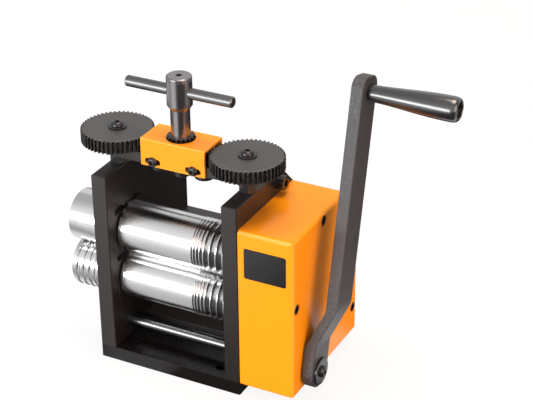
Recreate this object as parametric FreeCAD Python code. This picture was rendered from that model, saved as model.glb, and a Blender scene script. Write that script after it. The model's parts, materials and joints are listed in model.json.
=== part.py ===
import FreeCAD
import Part
import math
import os
from FreeCAD import Placement, Rotation, Vector

# Hand cranked jewellers rolling mill, millimetres. X runs along the rollers, Y from the front to the back,
# Z up. The origin is the middle of the base plate's underside.

# Frame
throat = 112.5                   # clear width between the side plates
plate_thickness = 15.0
plate_depth = 137.0
plate_height = 172.5
plate_chamfer = 52.0             # rear top corner of each side plate
base_thickness = 13.0
edge_break = 0.8                 # small chamfer on the plates' corners
cross_plate_thickness = 15.0
cross_plate_height = 80.0
cross_screw_edge = 12.0          # from the cross plate's lower and upper edges to its screws
lower_plate_thickness = 8.0
lower_plate_setback = 54.5
tie_rod_diameter = 12.0
tie_rod_setback = 76.0           # from the front edges of the plates
tie_rod_drop = 9.0               # below the plates' top edges
bench_hole_spacing = 90.0
bench_hole_diameter = 9.0
bench_hole_setback = 14.0

# Rollers
roller_setback = 35.2            # roller axes behind the plates' front edges
lower_axis_height = 75.8
roller_diameter = 46.7
roller_gap = 0.6                 # between the rollers when they are closed
roller_side_clearance = 1.2
journal_diameter = 24.0
seat_diameter = 20.0             # shaft under the outer rings and the gears
groove_widths = (1.6, 2.1, 2.5, 2.9, 4.9, 5.7, 6.0)
groove_land = 0.8                # plain metal between two wire grooves
groove_end_margin = 5.8          # from the last groove to the roller's end
roller_edge = 0.5                # broken edge at the barrel's ends
stub_gap = 0.3                   # shaft end below the outer face of what it carries
opening_range = 6.0              # lift of the upper roller

# Bearing blocks and their windows
window_width = 47.0
block_clearance = 0.15
tongue_width = 5.0
tongue_depth = 2.0
stop_clearance = 0.2             # left above the upper block at full opening
block_gap = 5.8                  # between the upper and the lower block when closed
lower_block_drop = 24.0          # block below the lower roller's axis
lower_block_rise = 20.5          # block above the lower roller's axis
upper_block_rise = 19.7          # block above the upper roller's axis
bush_wall = 3.0
running_clearance = 0.05
spring_diameter = 8.0
spring_wire = 1.3
spring_turns = 4.0
spring_spacing = 36.0
spring_pocket = 6.0
pocket_clearance = 0.3

# Outer rings on the left end
ring_length = 34.2
ring_gap = 1.0                   # between the ring and the plate
ring_grooves = (2.2, 2.8, 3.4, 4.0, 4.6)
ring_groove_land = 2.4
ring_washer_diameter = 32.0
ring_washer_thickness = 2.5
ring_screw_diameter = 8.0
ring_edge = 0.8

# Adjusting train on top
fine_module = 1.25
handle_teeth = 18
idler_teeth = 17
spindle_teeth = 50
fine_addendum = 1.0
fine_dedendum = 1.35
fine_backlash = 0.2
spindle_gear_thickness = 12.0
idler_thickness = 11.0
spindle_diameter = 10.0
spindle_seat_depth = 4.0         # how far the spindle's foot stands in the bearing block
spindle_shoulder = 0.5           # from the spindle's radius down to its gear seat
spindle_foot_edge = 1.0
spindle_room = 0.5               # hole round a spindle in the side plate
gear_washer_diameter = 16.4
gear_washer_thickness = 1.6
gear_screw_diameter = 6.0
gear_screw_grip = 16.0
hex_bush_flats = 15.0
hex_bush_shoulder = 1.0          # from the flats down to the threaded part's radius
hex_bush_height = 10.8
hex_bush_depth = 20.0            # threaded part inside the side plate
bridge_width = 27.0
bridge_thickness = 9.0
bridge_hole_room = 0.3           # hole round a spindle in the bridge bar
gear_lift = 1.0                  # gears above the bridge bar
hood_gear_clearance = 0.4        # between the hood's ends and the rising spindle gears
hood_height = 25.2
hood_wall = 2.5
hood_clearance = 0.1
hood_hole_clearance = 0.5
slot_spacing = 39.4
slot_length = 15.4
slot_height = 5.6
hood_screw_diameter = 5.0
hood_screw_depth = 5.5           # screw length inside the bridge bar
idler_pin_diameter = 8.0
idler_pin_head_diameter = 17.4
idler_pin_head_height = 8.0
idler_pin_head_edge = 1.0
ring_clip_thickness = 0.8
ring_clip_width = 4.0            # a retaining ring's width in the radius
ring_clip_play = 0.3             # between a gear and its retaining ring
pin_tail = 0.5                   # pin above its retaining ring

# T-handle
handle_pinion_rise = 2.5         # pinion's top above the hood
handle_pinion_gap = 0.6          # pinion above the bridge bar
handle_shaft_diameter = 17.0
handle_hub_diameter = 22.2
handle_hub_height = 26.6
handle_shaft_length = 31.0       # from the hood's top to the hub
handle_cone_height = 4.0
handle_shank_diameter = 14.0
handle_collar_diameter = 16.8
handle_collar_height = 9.0
handle_collar_gap = 0.3          # between the collar and the bridge bar
handle_bush_rise = 0.3           # bush above the bridge bar
handle_hub_edge = 1.2
handle_bar_diameter = 9.8
handle_bar_length = 103.0
handle_bar_drop = 14.8           # bar axis below the hub's top
handle_bar_edge = 1.0
set_screw_diameter = 5.0
set_screw_recess = 2.0           # below the hub's top
set_screw_socket = 2.5           # across flats, and as deep

# Roller gears and the reduction
coarse_module = 4.0
coarse_teeth = 12
coarse_addendum = 3.2
coarse_dedendum = 4.4
coarse_backlash = 1.5
coarse_width = 20.0
drive_module = 1.75
pinion_teeth = 12
drive_idler_teeth = 22
wheel_teeth = 30
drive_addendum = 1.4
drive_dedendum = 2.0
drive_backlash = 0.35
drive_width = 14.0
gear_gap = 2.0                   # between neighbouring gears along the shafts
key_width = 5.0
key_height = 5.0
end_washer_diameter = 26.0

# Crank
drive_setback = 29.3
drive_height = 27.3
drive_shaft_diameter = 12.0
drive_shaft_edge = 0.8
drive_bush_flange = 10.2
flange_thickness = 1.0
crank_length = 251.5
crank_lean = 13.3                # degrees towards the back
crank_width = 30.0
crank_thickness = 11.0
crank_offset = 15.9
crank_bend_start = 24.0
crank_bend_end = 62.0
crank_bend_radius = 8.0
crank_gap = 0.9                  # between the arm and the gear cover
crank_washer_diameter = 25.0
crank_washer_thickness = 2.0
crank_screw_diameter = 6.0
grip_length = 79.0
grip_small_diameter = 14.4
grip_large_diameter = 21.6
grip_gap = 0.4
grip_round = 3.0
grip_edge = 1.0                  # at the end beside the arm
grip_swell = 0.45                # share of the taper reached at grip_swell_place
grip_swell_place = 0.384         # share of the grip's length
grip_straight = 0.167            # share of the length that is cylindrical
grip_bolt_diameter = 8.0
grip_bolt_play = 0.3             # between the bolt's head and the hollow's floor
grip_bolt_head_height = 5.5
grip_bolt_head_edge = 0.5
grip_bolt_slot_width = 1.6
grip_bolt_slot_depth = 1.5
grip_head_room = 0.6             # round the bolt's head
grip_hollow_diameter = 14.0
grip_hollow_depth = 9.0

# Gear cover
cover_width = 51.9
cover_wall = 1.5
cover_front_setback = 0.9
cover_rear_setback = 5.7
cover_bottom = 10.3
cover_drop = 20.4                # below the plates' top edges
cover_chamfer = 26.0
cover_round = 3.5
cover_bush_wall = 2.5
cover_bush_rise = 0.4            # bush end outside the cover
cover_bush_collar = 2.0          # collar's width in the radius
cover_bush_collar_height = 3.0
cover_post_diameter = 10.0
upper_post_setback = 60.2        # behind the plates' front edges
front_post_setback = 8.5
rear_post_inset = 13.5           # in front of the plates' back edges
upper_post_drop = 27.3           # below the plates' top edges
front_post_height = 98.1
rear_post_height = 36.7
cover_spigot_length = 4.0        # a post's end inside the side plate
cover_screw_diameter = 5.0
cover_screw_grip = 10.0          # screw length inside a post
cover_recess_clearance = 0.9     # round a screw's head

# Screws
overrun = 1.0                    # how far a cutter reaches past the faces it opens
tap_room = 1.0                   # hole left beyond a screw's end
screw_clearance = 0.1
frame_screw_diameter = 6.0
frame_screw_setbacks = (8.0, 74.0)   # from the plates' front edges
frame_screw_inset = 19.0         # the rear ones, from the plates' back edges
frame_screw_grip = 18.0          # screw length inside the piece it is driven into
tie_screw_diameter = 8.0
flat_ratio = 0.36                # middle of a shaft to its flat, over the shaft's diameter
socket_ratio = 0.9               # cap screw's hexagon across flats, over the thread diameter
head_ratio = 1.65                # cap head diameter
head_edge_ratio = 0.06
button_ratio = 1.8               # button head diameter
button_height_ratio = 0.55
button_dome = ((0.0, 1.0), (0.3, 1.0), (0.75, 0.8), (1.0, 0.45))   # of its height and radius
button_socket_drop = 0.6         # socket depth, share of the button head's height
small_socket_ratio = 0.62        # hexagon of the button and countersunk heads
flat_socket_drop = 0.8           # socket depth, share of the countersunk head's height

# Worked out places
front = -plate_depth / 2
back = plate_depth / 2
plate_inner = throat / 2
plate_outer = plate_inner + plate_thickness
plate_top = base_thickness + plate_height
axis_y = front + roller_setback
upper_axis_height = lower_axis_height + roller_diameter + roller_gap
barrel_half = plate_inner - roller_side_clearance
lower_block_top = lower_axis_height + lower_block_rise
upper_block_bottom = lower_block_top + block_gap
upper_block_top = upper_axis_height + upper_block_rise
window_bottom = lower_axis_height - lower_block_drop
window_top = upper_block_top + opening_range + stop_clearance
spindle_x = plate_inner + plate_thickness / 2
bridge_bottom = plate_top + hex_bush_height
bridge_top = bridge_bottom + bridge_thickness
gear_bottom = bridge_top + gear_lift
hood_top = bridge_bottom + hood_height
idler_x = fine_module * (handle_teeth + idler_teeth) / 2
hood_half = spindle_x - fine_module * spindle_teeth / 2 - fine_addendum - hood_gear_clearance
drive_y = front + drive_setback
cover_outer = plate_outer + cover_width
coarse_start = plate_outer + ring_gap
coarse_end = coarse_start + coarse_width
drive_gear_start = coarse_end + gear_gap
drive_gear_end = drive_gear_start + drive_width
crank_inner = cover_outer + crank_gap
crank_outer = crank_inner + crank_thickness
grip_start = crank_outer + crank_offset + grip_gap
cover_top = plate_top - cover_drop
cover_post_places = ((front + upper_post_setback, plate_top - upper_post_drop),
                     (front + front_post_setback, front_post_height),
                     (back - rear_post_inset, rear_post_height))


def block(x0, x1, y0, y1, z0, z1):
    return Part.makeBox(x1 - x0, y1 - y0, z1 - z0, Vector(x0, y0, z0))


def rod(radius, start, end, place, direction):
    """A round bar from start to end along direction, through place."""
    return Part.makeCylinder(radius, end - start, place + direction * start, direction)


def x_rod(radius, x0, x1, y, z):
    return rod(radius, x0, x1, Vector(0, y, z), Vector(1, 0, 0))


def y_rod(radius, y0, y1, x, z):
    return rod(radius, y0, y1, Vector(x, 0, z), Vector(0, 1, 0))


def z_rod(radius, z0, z1, x, y):
    return rod(radius, z0, z1, Vector(x, y, 0), Vector(0, 0, 1))


def turned(profile, place, direction):
    """A solid of revolution: profile is (distance along the axis, radius), closed to the axis."""
    points = [Vector(radius, 0, height) for height, radius in profile]
    points = [Vector(0, 0, profile[0][0])] + points + [Vector(0, 0, profile[-1][0])]
    points = [p for i, p in enumerate(points) if i == 0 or (p - points[i - 1]).Length > 1e-6]
    outline = Part.makePolygon(points + [points[0]])
    solid = Part.Face(outline).revolve(Vector(0, 0, 0), Vector(0, 0, 1), 360)
    solid.Placement = Placement(place, Rotation(Vector(0, 0, 1), direction))
    return solid


def hexagon(flats, height):
    """A hexagonal prism that stands on the XY plane."""
    corner = flats / 2 / math.cos(math.pi / 6)
    turns = [k * math.pi / 3 for k in range(7)]
    points = [Vector(corner * math.cos(turn), corner * math.sin(turn), 0) for turn in turns]
    return Part.Face(Part.makePolygon(points)).extrude(Vector(0, 0, height))


def aimed(solid, place, direction):
    solid.Placement = Placement(place, Rotation(Vector(0, 0, 1), direction))
    return solid


def cap_screw(diameter, grip, place, direction):
    """Socket head cap screw: direction points out of the head, place is the middle of the seat."""
    head = diameter * head_ratio / 2
    edge = diameter * head_edge_ratio
    screw = turned([(-grip, diameter / 2), (0, diameter / 2), (0, head), (diameter - edge, head),
                    (diameter, head - edge)], Vector(0, 0, 0), Vector(0, 0, 1))
    socket = hexagon(diameter * socket_ratio, diameter)
    socket.translate(Vector(0, 0, diameter / 2))
    return aimed(screw.cut(socket), place, direction)


def button_screw(diameter, grip, place, direction):
    """Round headed socket screw for a washer."""
    head = diameter * button_ratio / 2
    height = diameter * button_height_ratio
    dome = [(height * up, head * out) for up, out in button_dome]
    screw = turned([(-grip, diameter / 2), (0, diameter / 2)] + dome, Vector(0, 0, 0), Vector(0, 0, 1))
    socket = hexagon(diameter * small_socket_ratio, height)
    socket.translate(Vector(0, 0, height * (1 - button_socket_drop)))
    return aimed(screw.cut(socket), place, direction)


def flat_screw(diameter, grip, place, direction):
    """Countersunk socket screw: place is the middle of the flush head."""
    cone = diameter / 2
    profile = [(-grip, diameter / 2), (-cone, diameter / 2), (0, diameter)]
    screw = turned(profile, Vector(0, 0, 0), Vector(0, 0, 1))
    socket = hexagon(diameter * small_socket_ratio, cone)
    socket.translate(Vector(0, 0, -cone * flat_socket_drop))
    return aimed(screw.cut(socket), place, direction)


def flat_screw_hole(diameter, depth, place, direction):
    radius = diameter / 2 + screw_clearance
    head = diameter + screw_clearance
    profile = [(-depth, radius), (radius - head, radius), (0, head), (overrun, head)]
    return aimed(turned(profile, Vector(0, 0, 0), Vector(0, 0, 1)), place, direction)


def washer(outer, inner, thickness, place, direction):
    ring = Part.makeCylinder(outer / 2, thickness).cut(Part.makeCylinder(inner / 2, thickness))
    return aimed(ring, place, direction)


def involute(angle):
    return math.tan(angle) - angle


def toothed_disc(teeth, module, addendum, dedendum, backlash, width, phase):
    """A spur gear blank on the XY plane; phase is the direction of a tooth's middle, in radians."""
    pitch = module * teeth / 2
    pressure = math.radians(20)
    base = pitch * math.cos(pressure)
    half = math.pi / 2 / teeth - backlash / 2 / pitch
    tip = pitch + addendum
    at_root = half + involute(pressure)
    at_tip = half + involute(pressure) - involute(math.acos(base / tip))
    flank = ((pitch - dedendum, -at_root), (pitch, -half), (tip, -at_tip), (tip, at_tip), (pitch, half),
             (pitch - dedendum, at_root))
    points = []
    for tooth in range(teeth):
        middle = phase + tooth * 2 * math.pi / teeth
        points += [Vector(r * math.cos(middle + a), r * math.sin(middle + a), 0) for r, a in flank]
    return Part.Face(Part.makePolygon(points + [points[0]])).extrude(Vector(0, 0, width))


def meshed_phase(phase, teeth, direction, next_teeth):
    """The phase of a gear whose centre lies in direction from one with this phase, teeth in mesh."""
    turns = (direction - phase) * teeth / (2 * math.pi)
    return direction + math.pi - (0.5 - turns) * 2 * math.pi / next_teeth


def along_x(shape, x, y, z):
    """Turns a shape made on the XY plane so that it stands along X, its x on Y and its y on Z."""
    shape.Placement = Placement(Vector(x, y, z), Rotation(Vector(1, 1, 1), 120))
    return shape


def key_bar(radius, length, clearance):
    """The key on top of a shaft of this radius, on the XY plane, seen along the shaft."""
    half = key_width / 2 + clearance
    tall = key_height / 2 + clearance
    return block(radius - tall, radius + tall, -half, half, 0, length)


def bored_gear(disc, radius, width, keyed):
    bore = Part.makeCylinder(radius + running_clearance, width)
    gear = disc.cut(bore)
    return gear.cut(key_bar(radius, width, running_clearance)) if keyed else gear


# Frame pieces

def bench_holes():
    y = front + bench_hole_setback
    top = base_thickness + overrun
    reach = bench_hole_spacing / 2
    return [z_rod(bench_hole_diameter / 2, -overrun, top, side * reach, y) for side in (-1, 1)]


def frame_screw_places():
    rows = [front + setback for setback in frame_screw_setbacks] + [back - frame_screw_inset]
    return [Vector(side * spindle_x, y, 0) for side in (-1, 1) for y in rows]


def lower_plate_screw_places():
    y = (front + lower_plate_setback + back - cross_plate_thickness) / 2
    return [Vector(side * throat / 4, y, 0) for side in (-1, 1)]


def base_plate():
    plate = block(-plate_outer, plate_outer, front, back, 0, base_thickness)
    upright = [e for e in plate.Edges if abs(e.tangentAt(e.FirstParameter).z) > 0.9]
    plate = plate.makeChamfer(edge_break, upright)
    depth = base_thickness + overrun
    for hole in bench_holes():
        plate = plate.cut(hole)
    for place in frame_screw_places() + lower_plate_screw_places():
        plate = plate.cut(flat_screw_hole(frame_screw_diameter, depth, place, Vector(0, 0, -1)))
    return plate


def base_screws():
    outward = Vector(0, 0, -1)
    grip = base_thickness + frame_screw_grip
    short = base_thickness + lower_plate_thickness - tap_room
    screws = [flat_screw(frame_screw_diameter, grip, place, outward) for place in frame_screw_places()]
    for place in lower_plate_screw_places():
        screws.append(flat_screw(frame_screw_diameter, short, place, outward))
    return screws


def cross_screw_places():
    y = back - cross_plate_thickness / 2
    low = base_thickness + cross_screw_edge
    high = base_thickness + cross_plate_height - cross_screw_edge
    return [Vector(0, y, low), Vector(0, y, high)]


def tie_rod_axis():
    return front + tie_rod_setback, plate_top - tie_rod_drop


def window():
    """The right plate's tall hole for its bearing blocks, with a groove down each side."""
    half = window_width / 2
    deep = half + tongue_depth + block_clearance
    wide = tongue_width / 2 + block_clearance
    hole = block(0, plate_outer + overrun, axis_y - half, axis_y + half, window_bottom, window_top)
    slot = block(spindle_x - wide, spindle_x + wide, axis_y - deep, axis_y + deep, window_bottom, window_top)
    return hole.fuse(slot)


def side_plate_blank():
    """The right plate before its holes, with the edges that show broken."""
    outline = [(front, base_thickness), (back, base_thickness), (back, plate_top - plate_chamfer),
               (back - plate_chamfer, plate_top), (front, plate_top)]
    points = [Vector(plate_inner, y, z) for y, z in outline]
    plate = Part.Face(Part.makePolygon(points + [points[0]])).extrude(Vector(plate_thickness, 0, 0))
    rims = [e for e in plate.Edges if abs(e.tangentAt(e.FirstParameter).x) < 0.1
            and min(v.Point.z for v in e.Vertexes) > base_thickness + edge_break]
    rims += [e for e in plate.Edges if abs(e.tangentAt(e.FirstParameter).z) > 0.9 and e.BoundBox.YMax < 0]
    return plate.makeChamfer(edge_break, rims)


def side_plate_holes():
    """The holes that both plates have, in the right one's place."""
    outside = plate_outer + overrun
    bush = drive_shaft_diameter / 2 + bush_wall + screw_clearance / 2
    thread = hex_bush_flats / 2 - hex_bush_shoulder + screw_clearance
    screw = frame_screw_diameter / 2 + screw_clearance
    tie_y, tie_z = tie_rod_axis()
    holes = [window(),
             x_rod(bush, 0, outside, drive_y, drive_height),
             z_rod(thread, plate_top - hex_bush_depth - tap_room, plate_top + overrun, spindle_x, axis_y),
             z_rod(spindle_diameter / 2 + spindle_room, window_top - overrun, plate_top, spindle_x, axis_y),
             x_rod(tie_screw_diameter / 2 + screw_clearance, 0, outside, tie_y, tie_z)]
    for place in frame_screw_places():
        if place.x > 0:
            holes.append(z_rod(screw, 0, base_thickness + frame_screw_grip + tap_room, place.x, place.y))
    for place in cross_screw_places():
        seat = place + Vector(plate_outer, 0, 0)
        holes.append(flat_screw_hole(frame_screw_diameter, plate_thickness + overrun, seat, Vector(1, 0, 0)))
    return holes


def gear_side_holes():
    """The holes in the right plate for the gear cover's posts and the drive idler's stud."""
    outside = plate_outer + overrun
    spigot = cover_screw_diameter / 2 + screw_clearance
    inside = plate_outer - cover_spigot_length - stub_gap
    stud_y, stud_z = drive_idler_place()
    holes = [x_rod(spigot, inside, outside, y, z) for y, z in cover_post_places]
    return holes + [x_rod(idler_stud_radius() + screw_clearance, 0, outside, stud_y, stud_z)]


def side_plate(side):
    """side is -1 for the left plate and 1 for the right one."""
    plate = side_plate_blank()
    for hole in side_plate_holes() + (gear_side_holes() if side > 0 else []):
        plate = plate.cut(hole)
    return plate if side > 0 else plate.mirror(Vector(0, 0, 0), Vector(1, 0, 0))


def both_sides(solid):
    """The solid and its mirror image on the other side of the throat."""
    return [solid, solid.mirror(Vector(0, 0, 0), Vector(1, 0, 0))]


def tapped_ends(bar, diameter, places):
    """Cuts a screw hole into both ends of a bar that fills the throat, at each of these places."""
    depth = frame_screw_grip + tap_room
    for place in places:
        for side in (-1, 1):
            start = place + Vector(side * (plate_inner - depth), 0, 0)
            hole = rod(diameter / 2 + screw_clearance, 0, depth + overrun, start, Vector(side, 0, 0))
            bar = bar.cut(hole)
    return bar


def cross_plate():
    top = base_thickness + cross_plate_height
    plate = block(-plate_inner, plate_inner, back - cross_plate_thickness, back, base_thickness, top)
    return tapped_ends(plate, frame_screw_diameter, cross_screw_places())


def lower_plate():
    """Stiffening plate on the base, between the side plates and in front of the cross plate."""
    lip = front + lower_plate_setback
    top = base_thickness + lower_plate_thickness
    plate = block(-plate_inner, plate_inner, lip, back - cross_plate_thickness, base_thickness, top)
    edge = [e for e in plate.Edges if e.BoundBox.YMax < lip + 0.1 and e.BoundBox.ZMin > top - 0.1]
    plate = plate.makeChamfer(edge_break, edge)
    for place in lower_plate_screw_places():
        plate = plate.cut(z_rod(frame_screw_diameter / 2 + screw_clearance, 0, plate_top, place.x, place.y))
    return plate


def cross_plate_screws():
    grip = plate_thickness + frame_screw_grip
    screws = []
    for place in cross_screw_places():
        seat = place + Vector(plate_outer, 0, 0)
        screws += both_sides(flat_screw(frame_screw_diameter, grip, seat, Vector(1, 0, 0)))
    return screws


def tie_rod():
    y, z = tie_rod_axis()
    bar = x_rod(tie_rod_diameter / 2, -plate_inner, plate_inner, y, z)
    return tapped_ends(bar, tie_screw_diameter, [Vector(0, y, z)])


def tie_rod_screws():
    y, z = tie_rod_axis()
    grip = plate_thickness + frame_screw_grip
    return both_sides(cap_screw(tie_screw_diameter, grip, Vector(plate_outer, y, z), Vector(1, 0, 0)))


# Bearings

def bearing_block(bottom, top, axis_height):
    """A block that fills the window's width, with a tongue down each side, for the right plate."""
    half = window_width / 2 - block_clearance
    deep = half + tongue_depth
    wide = tongue_width / 2
    solid = block(plate_inner, plate_outer, axis_y - half, axis_y + half, bottom, top)
    tongue = block(spindle_x - wide, spindle_x + wide, axis_y - deep, axis_y + deep, bottom, top)
    solid = solid.fuse(tongue)
    bush = journal_diameter / 2 + bush_wall
    return solid.cut(x_rod(bush, 0, plate_outer + overrun, axis_y, axis_height)).removeSplitter()


def spring_places():
    return [(spindle_x, axis_y + side * spring_spacing / 2) for side in (-1, 1)]


def spring_pockets():
    radius = spring_diameter / 2 + pocket_clearance
    low = lower_block_top - spring_pocket
    high = upper_block_bottom + spring_pocket
    return [z_rod(radius, low, high, x, y) for x, y in spring_places()]


def lower_block():
    solid = bearing_block(window_bottom, lower_block_top, lower_axis_height)
    for pocket in spring_pockets():
        solid = solid.cut(pocket)
    return solid


def upper_block():
    solid = bearing_block(upper_block_bottom, upper_block_top, upper_axis_height)
    for pocket in spring_pockets():
        solid = solid.cut(pocket)
    foot = upper_block_top - spindle_seat_depth
    radius = spindle_diameter / 2 + running_clearance
    return solid.cut(z_rod(radius, foot, upper_block_top + overrun, spindle_x, axis_y))


def roller_bush(axis_height):
    bush = x_rod(journal_diameter / 2 + bush_wall, plate_inner, plate_outer, axis_y, axis_height)
    bore = journal_diameter / 2 + running_clearance
    return bush.cut(x_rod(bore, 0, plate_outer + overrun, axis_y, axis_height))


def lift_spring(x, y):
    """A coil spring that stands in the two blocks' pockets."""
    radius = (spring_diameter - spring_wire) / 2
    bottom = lower_block_top - spring_pocket + spring_wire / 2
    length = block_gap + 2 * spring_pocket - spring_wire
    path = Part.makeHelix(length / spring_turns, length, radius)
    section = Part.Wire([Part.makeCircle(spring_wire / 2, Vector(radius, 0, 0), Vector(0, 1, 0))])
    coil = Part.Wire(path.Edges).makePipeShell([section], True, True)
    coil.translate(Vector(x, y, bottom))
    return coil


def lift_springs():
    springs = []
    for x, y in spring_places():
        springs += both_sides(lift_spring(x, y))
    return springs


def drive_bush(side):
    """Flanged bush of the drive shaft in a side plate, the flange on the inner face."""
    inner = drive_shaft_diameter / 2 + running_clearance
    outer = drive_shaft_diameter / 2 + bush_wall
    flange = plate_inner - flange_thickness
    bush = x_rod(outer, flange, plate_outer, drive_y, drive_height)
    bush = bush.fuse(x_rod(drive_bush_flange, flange, plate_inner, drive_y, drive_height))
    bush = bush.cut(x_rod(inner, 0, plate_outer + overrun, drive_y, drive_height)).removeSplitter()
    return bush if side > 0 else bush.mirror(Vector(0, 0, 0), Vector(1, 0, 0))


# Rollers

def wire_grooves(widths, land, first):
    """The zigzag of V grooves as (position, depth) pairs from first on, a land after each groove."""
    points = []
    at = first
    for width in widths:
        points += [(at, 0.0), (at + width / 2, width / 2), (at + width, 0.0)]
        at += width + land
    return points


def ring_end():
    return -plate_outer - ring_gap - ring_length


def left_stub_end():
    return ring_end() + stub_gap


def roller(axis_height, right_end):
    """Barrel, journals and seats in one turned piece; right_end is where its gear seat ends."""
    radius = roller_diameter / 2
    journal = journal_diameter / 2
    seat = seat_diameter / 2
    left_end = left_stub_end()
    grooved = sum(groove_widths) + groove_land * (len(groove_widths) - 1)
    first = barrel_half - groove_end_margin - grooved
    profile = [(left_end, seat), (-plate_outer, seat), (-plate_outer, journal), (-barrel_half, journal),
               (-barrel_half, radius - roller_edge), (-barrel_half + roller_edge, radius)]
    profile += [(x, radius - depth) for x, depth in wire_grooves(groove_widths, groove_land, first)]
    profile += [(barrel_half - roller_edge, radius), (barrel_half, radius - roller_edge),
                (barrel_half, journal), (plate_outer, journal), (plate_outer, seat), (right_end, seat)]
    solid = turned(profile, Vector(0, axis_y, axis_height), Vector(1, 0, 0))
    thread = ring_screw_diameter / 2 + screw_clearance
    depth = frame_screw_grip + tap_room
    solid = solid.cut(x_rod(thread, left_end - overrun, left_end + depth, axis_y, axis_height))
    return solid.cut(x_rod(thread, right_end - depth, right_end + overrun, axis_y, axis_height))


def shaft_key(start, end, axis_height):
    return along_x(key_bar(seat_diameter / 2, end - start, 0), start, axis_y, axis_height)


def roller_keys(axis_height, right_end):
    """The key of the gears on the right stub and the key of the ring on the left one."""
    return [shaft_key(coarse_start, right_end, axis_height),
            shaft_key(left_stub_end(), -plate_outer - ring_gap, axis_height)]


def keyed_roller(axis_height, right_end):
    """The roller with its two keyways cut."""
    solid = roller(axis_height, right_end)
    for key in roller_keys(axis_height, right_end):
        solid = solid.cut(key)
    return solid


def ring_bore(disc):
    """Cuts the seat bore and the keyway through an outer ring."""
    start = ring_end() - overrun
    length = ring_length + 2 * overrun
    disc = disc.cut(x_rod(seat_diameter / 2 + running_clearance, start, start + length, axis_y, 0))
    return disc.cut(along_x(key_bar(seat_diameter / 2, length, running_clearance), start, axis_y, 0))


def outer_ring(axis_height, grooves):
    """A ring on the left stub: plain, or with round bottomed grooves for half round wire."""
    radius = roller_diameter / 2
    start = ring_end()
    end = start + ring_length
    disc = turned([(start, radius - ring_edge), (start + ring_edge, radius), (end - ring_edge, radius),
                   (end, radius - ring_edge)], Vector(0, axis_y, 0), Vector(1, 0, 0))
    total = sum(grooves) + ring_groove_land * (len(grooves) - 1)
    at = (start + end - total) / 2
    for width in reversed(grooves):
        torus = Part.makeTorus(radius, width / 2, Vector(at + width / 2, axis_y, 0), Vector(1, 0, 0))
        disc = disc.cut(torus)
        at += width + ring_groove_land
    disc = ring_bore(disc)
    disc.translate(Vector(0, 0, axis_height))
    return disc


def roller_washers(axis_height, right_end):
    """The washers that hold the ring on the left stub and the gears on the right one."""
    inner = ring_screw_diameter + 2 * screw_clearance
    left = Vector(ring_end(), axis_y, axis_height)
    right = Vector(right_end, axis_y, axis_height)
    return [washer(ring_washer_diameter, inner, ring_washer_thickness, left, Vector(-1, 0, 0)),
            washer(end_washer_diameter, inner, ring_washer_thickness, right, Vector(1, 0, 0))]


def roller_screws(axis_height, right_end):
    left = Vector(ring_end() - ring_washer_thickness, axis_y, axis_height)
    right = Vector(right_end + ring_washer_thickness, axis_y, axis_height)
    return [button_screw(ring_screw_diameter, frame_screw_grip, left, Vector(-1, 0, 0)),
            button_screw(ring_screw_diameter, frame_screw_grip, right, Vector(1, 0, 0))]


# Gears inside the cover

def lower_roller_end():
    return drive_gear_end - stub_gap


def upper_roller_end():
    return coarse_end - stub_gap


def coarse_gear(axis_height, phase):
    disc = toothed_disc(coarse_teeth, coarse_module, coarse_addendum, coarse_dedendum, coarse_backlash,
                        coarse_width, phase)
    gear = bored_gear(disc, seat_diameter / 2, coarse_width, True)
    return along_x(gear, coarse_start, axis_y, axis_height)


def lower_coarse_gear():
    return coarse_gear(lower_axis_height, math.pi / 2)


def upper_coarse_gear():
    return coarse_gear(upper_axis_height, meshed_phase(math.pi / 2, coarse_teeth, math.pi / 2, coarse_teeth))


def drive_gear(teeth, phase):
    return toothed_disc(teeth, drive_module, drive_addendum, drive_dedendum, drive_backlash, drive_width,
                        phase)


def drive_idler_place():
    """Where the idler's pitch circle touches the pinion's and the wheel's, on the side of the back."""
    to_pinion = drive_module * (pinion_teeth + drive_idler_teeth) / 2
    to_wheel = drive_module * (wheel_teeth + drive_idler_teeth) / 2
    span_y = axis_y - drive_y
    span_z = lower_axis_height - drive_height
    span = math.hypot(span_y, span_z)
    along = (span ** 2 + to_pinion ** 2 - to_wheel ** 2) / (2 * span)
    across = math.sqrt(to_pinion ** 2 - along ** 2)
    return (drive_y + (along * span_y + across * span_z) / span,
            drive_height + (along * span_z - across * span_y) / span)


def drive_wheel_phases():
    """Phases of pinion, idler and wheel, all in mesh."""
    idler_y, idler_z = drive_idler_place()
    pinion = 0.0
    to_idler = math.atan2(idler_z - drive_height, idler_y - drive_y)
    idler = meshed_phase(pinion, pinion_teeth, to_idler, drive_idler_teeth)
    to_wheel = math.atan2(lower_axis_height - idler_z, axis_y - idler_y)
    wheel = meshed_phase(idler, drive_idler_teeth, to_wheel, wheel_teeth)
    return pinion, idler, wheel


def drive_wheel():
    disc = drive_gear(wheel_teeth, drive_wheel_phases()[2])
    gear = bored_gear(disc, seat_diameter / 2, drive_width, True)
    return along_x(gear, drive_gear_start, axis_y, lower_axis_height)


def drive_idler():
    y, z = drive_idler_place()
    disc = drive_gear(drive_idler_teeth, drive_wheel_phases()[1])
    gear = bored_gear(disc, idler_bush_radius(), drive_width, False)
    return along_x(gear, drive_gear_start, y, z)


def idler_stud_radius():
    return drive_shaft_diameter / 2


def idler_bush_radius():
    return idler_stud_radius() + running_clearance + bush_wall


def drive_idler_bush():
    y, z = drive_idler_place()
    bush = x_rod(idler_bush_radius(), drive_gear_start, drive_gear_end, y, z)
    return bush.cut(x_rod(idler_stud_radius() + running_clearance, 0, cover_outer, y, z))


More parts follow.
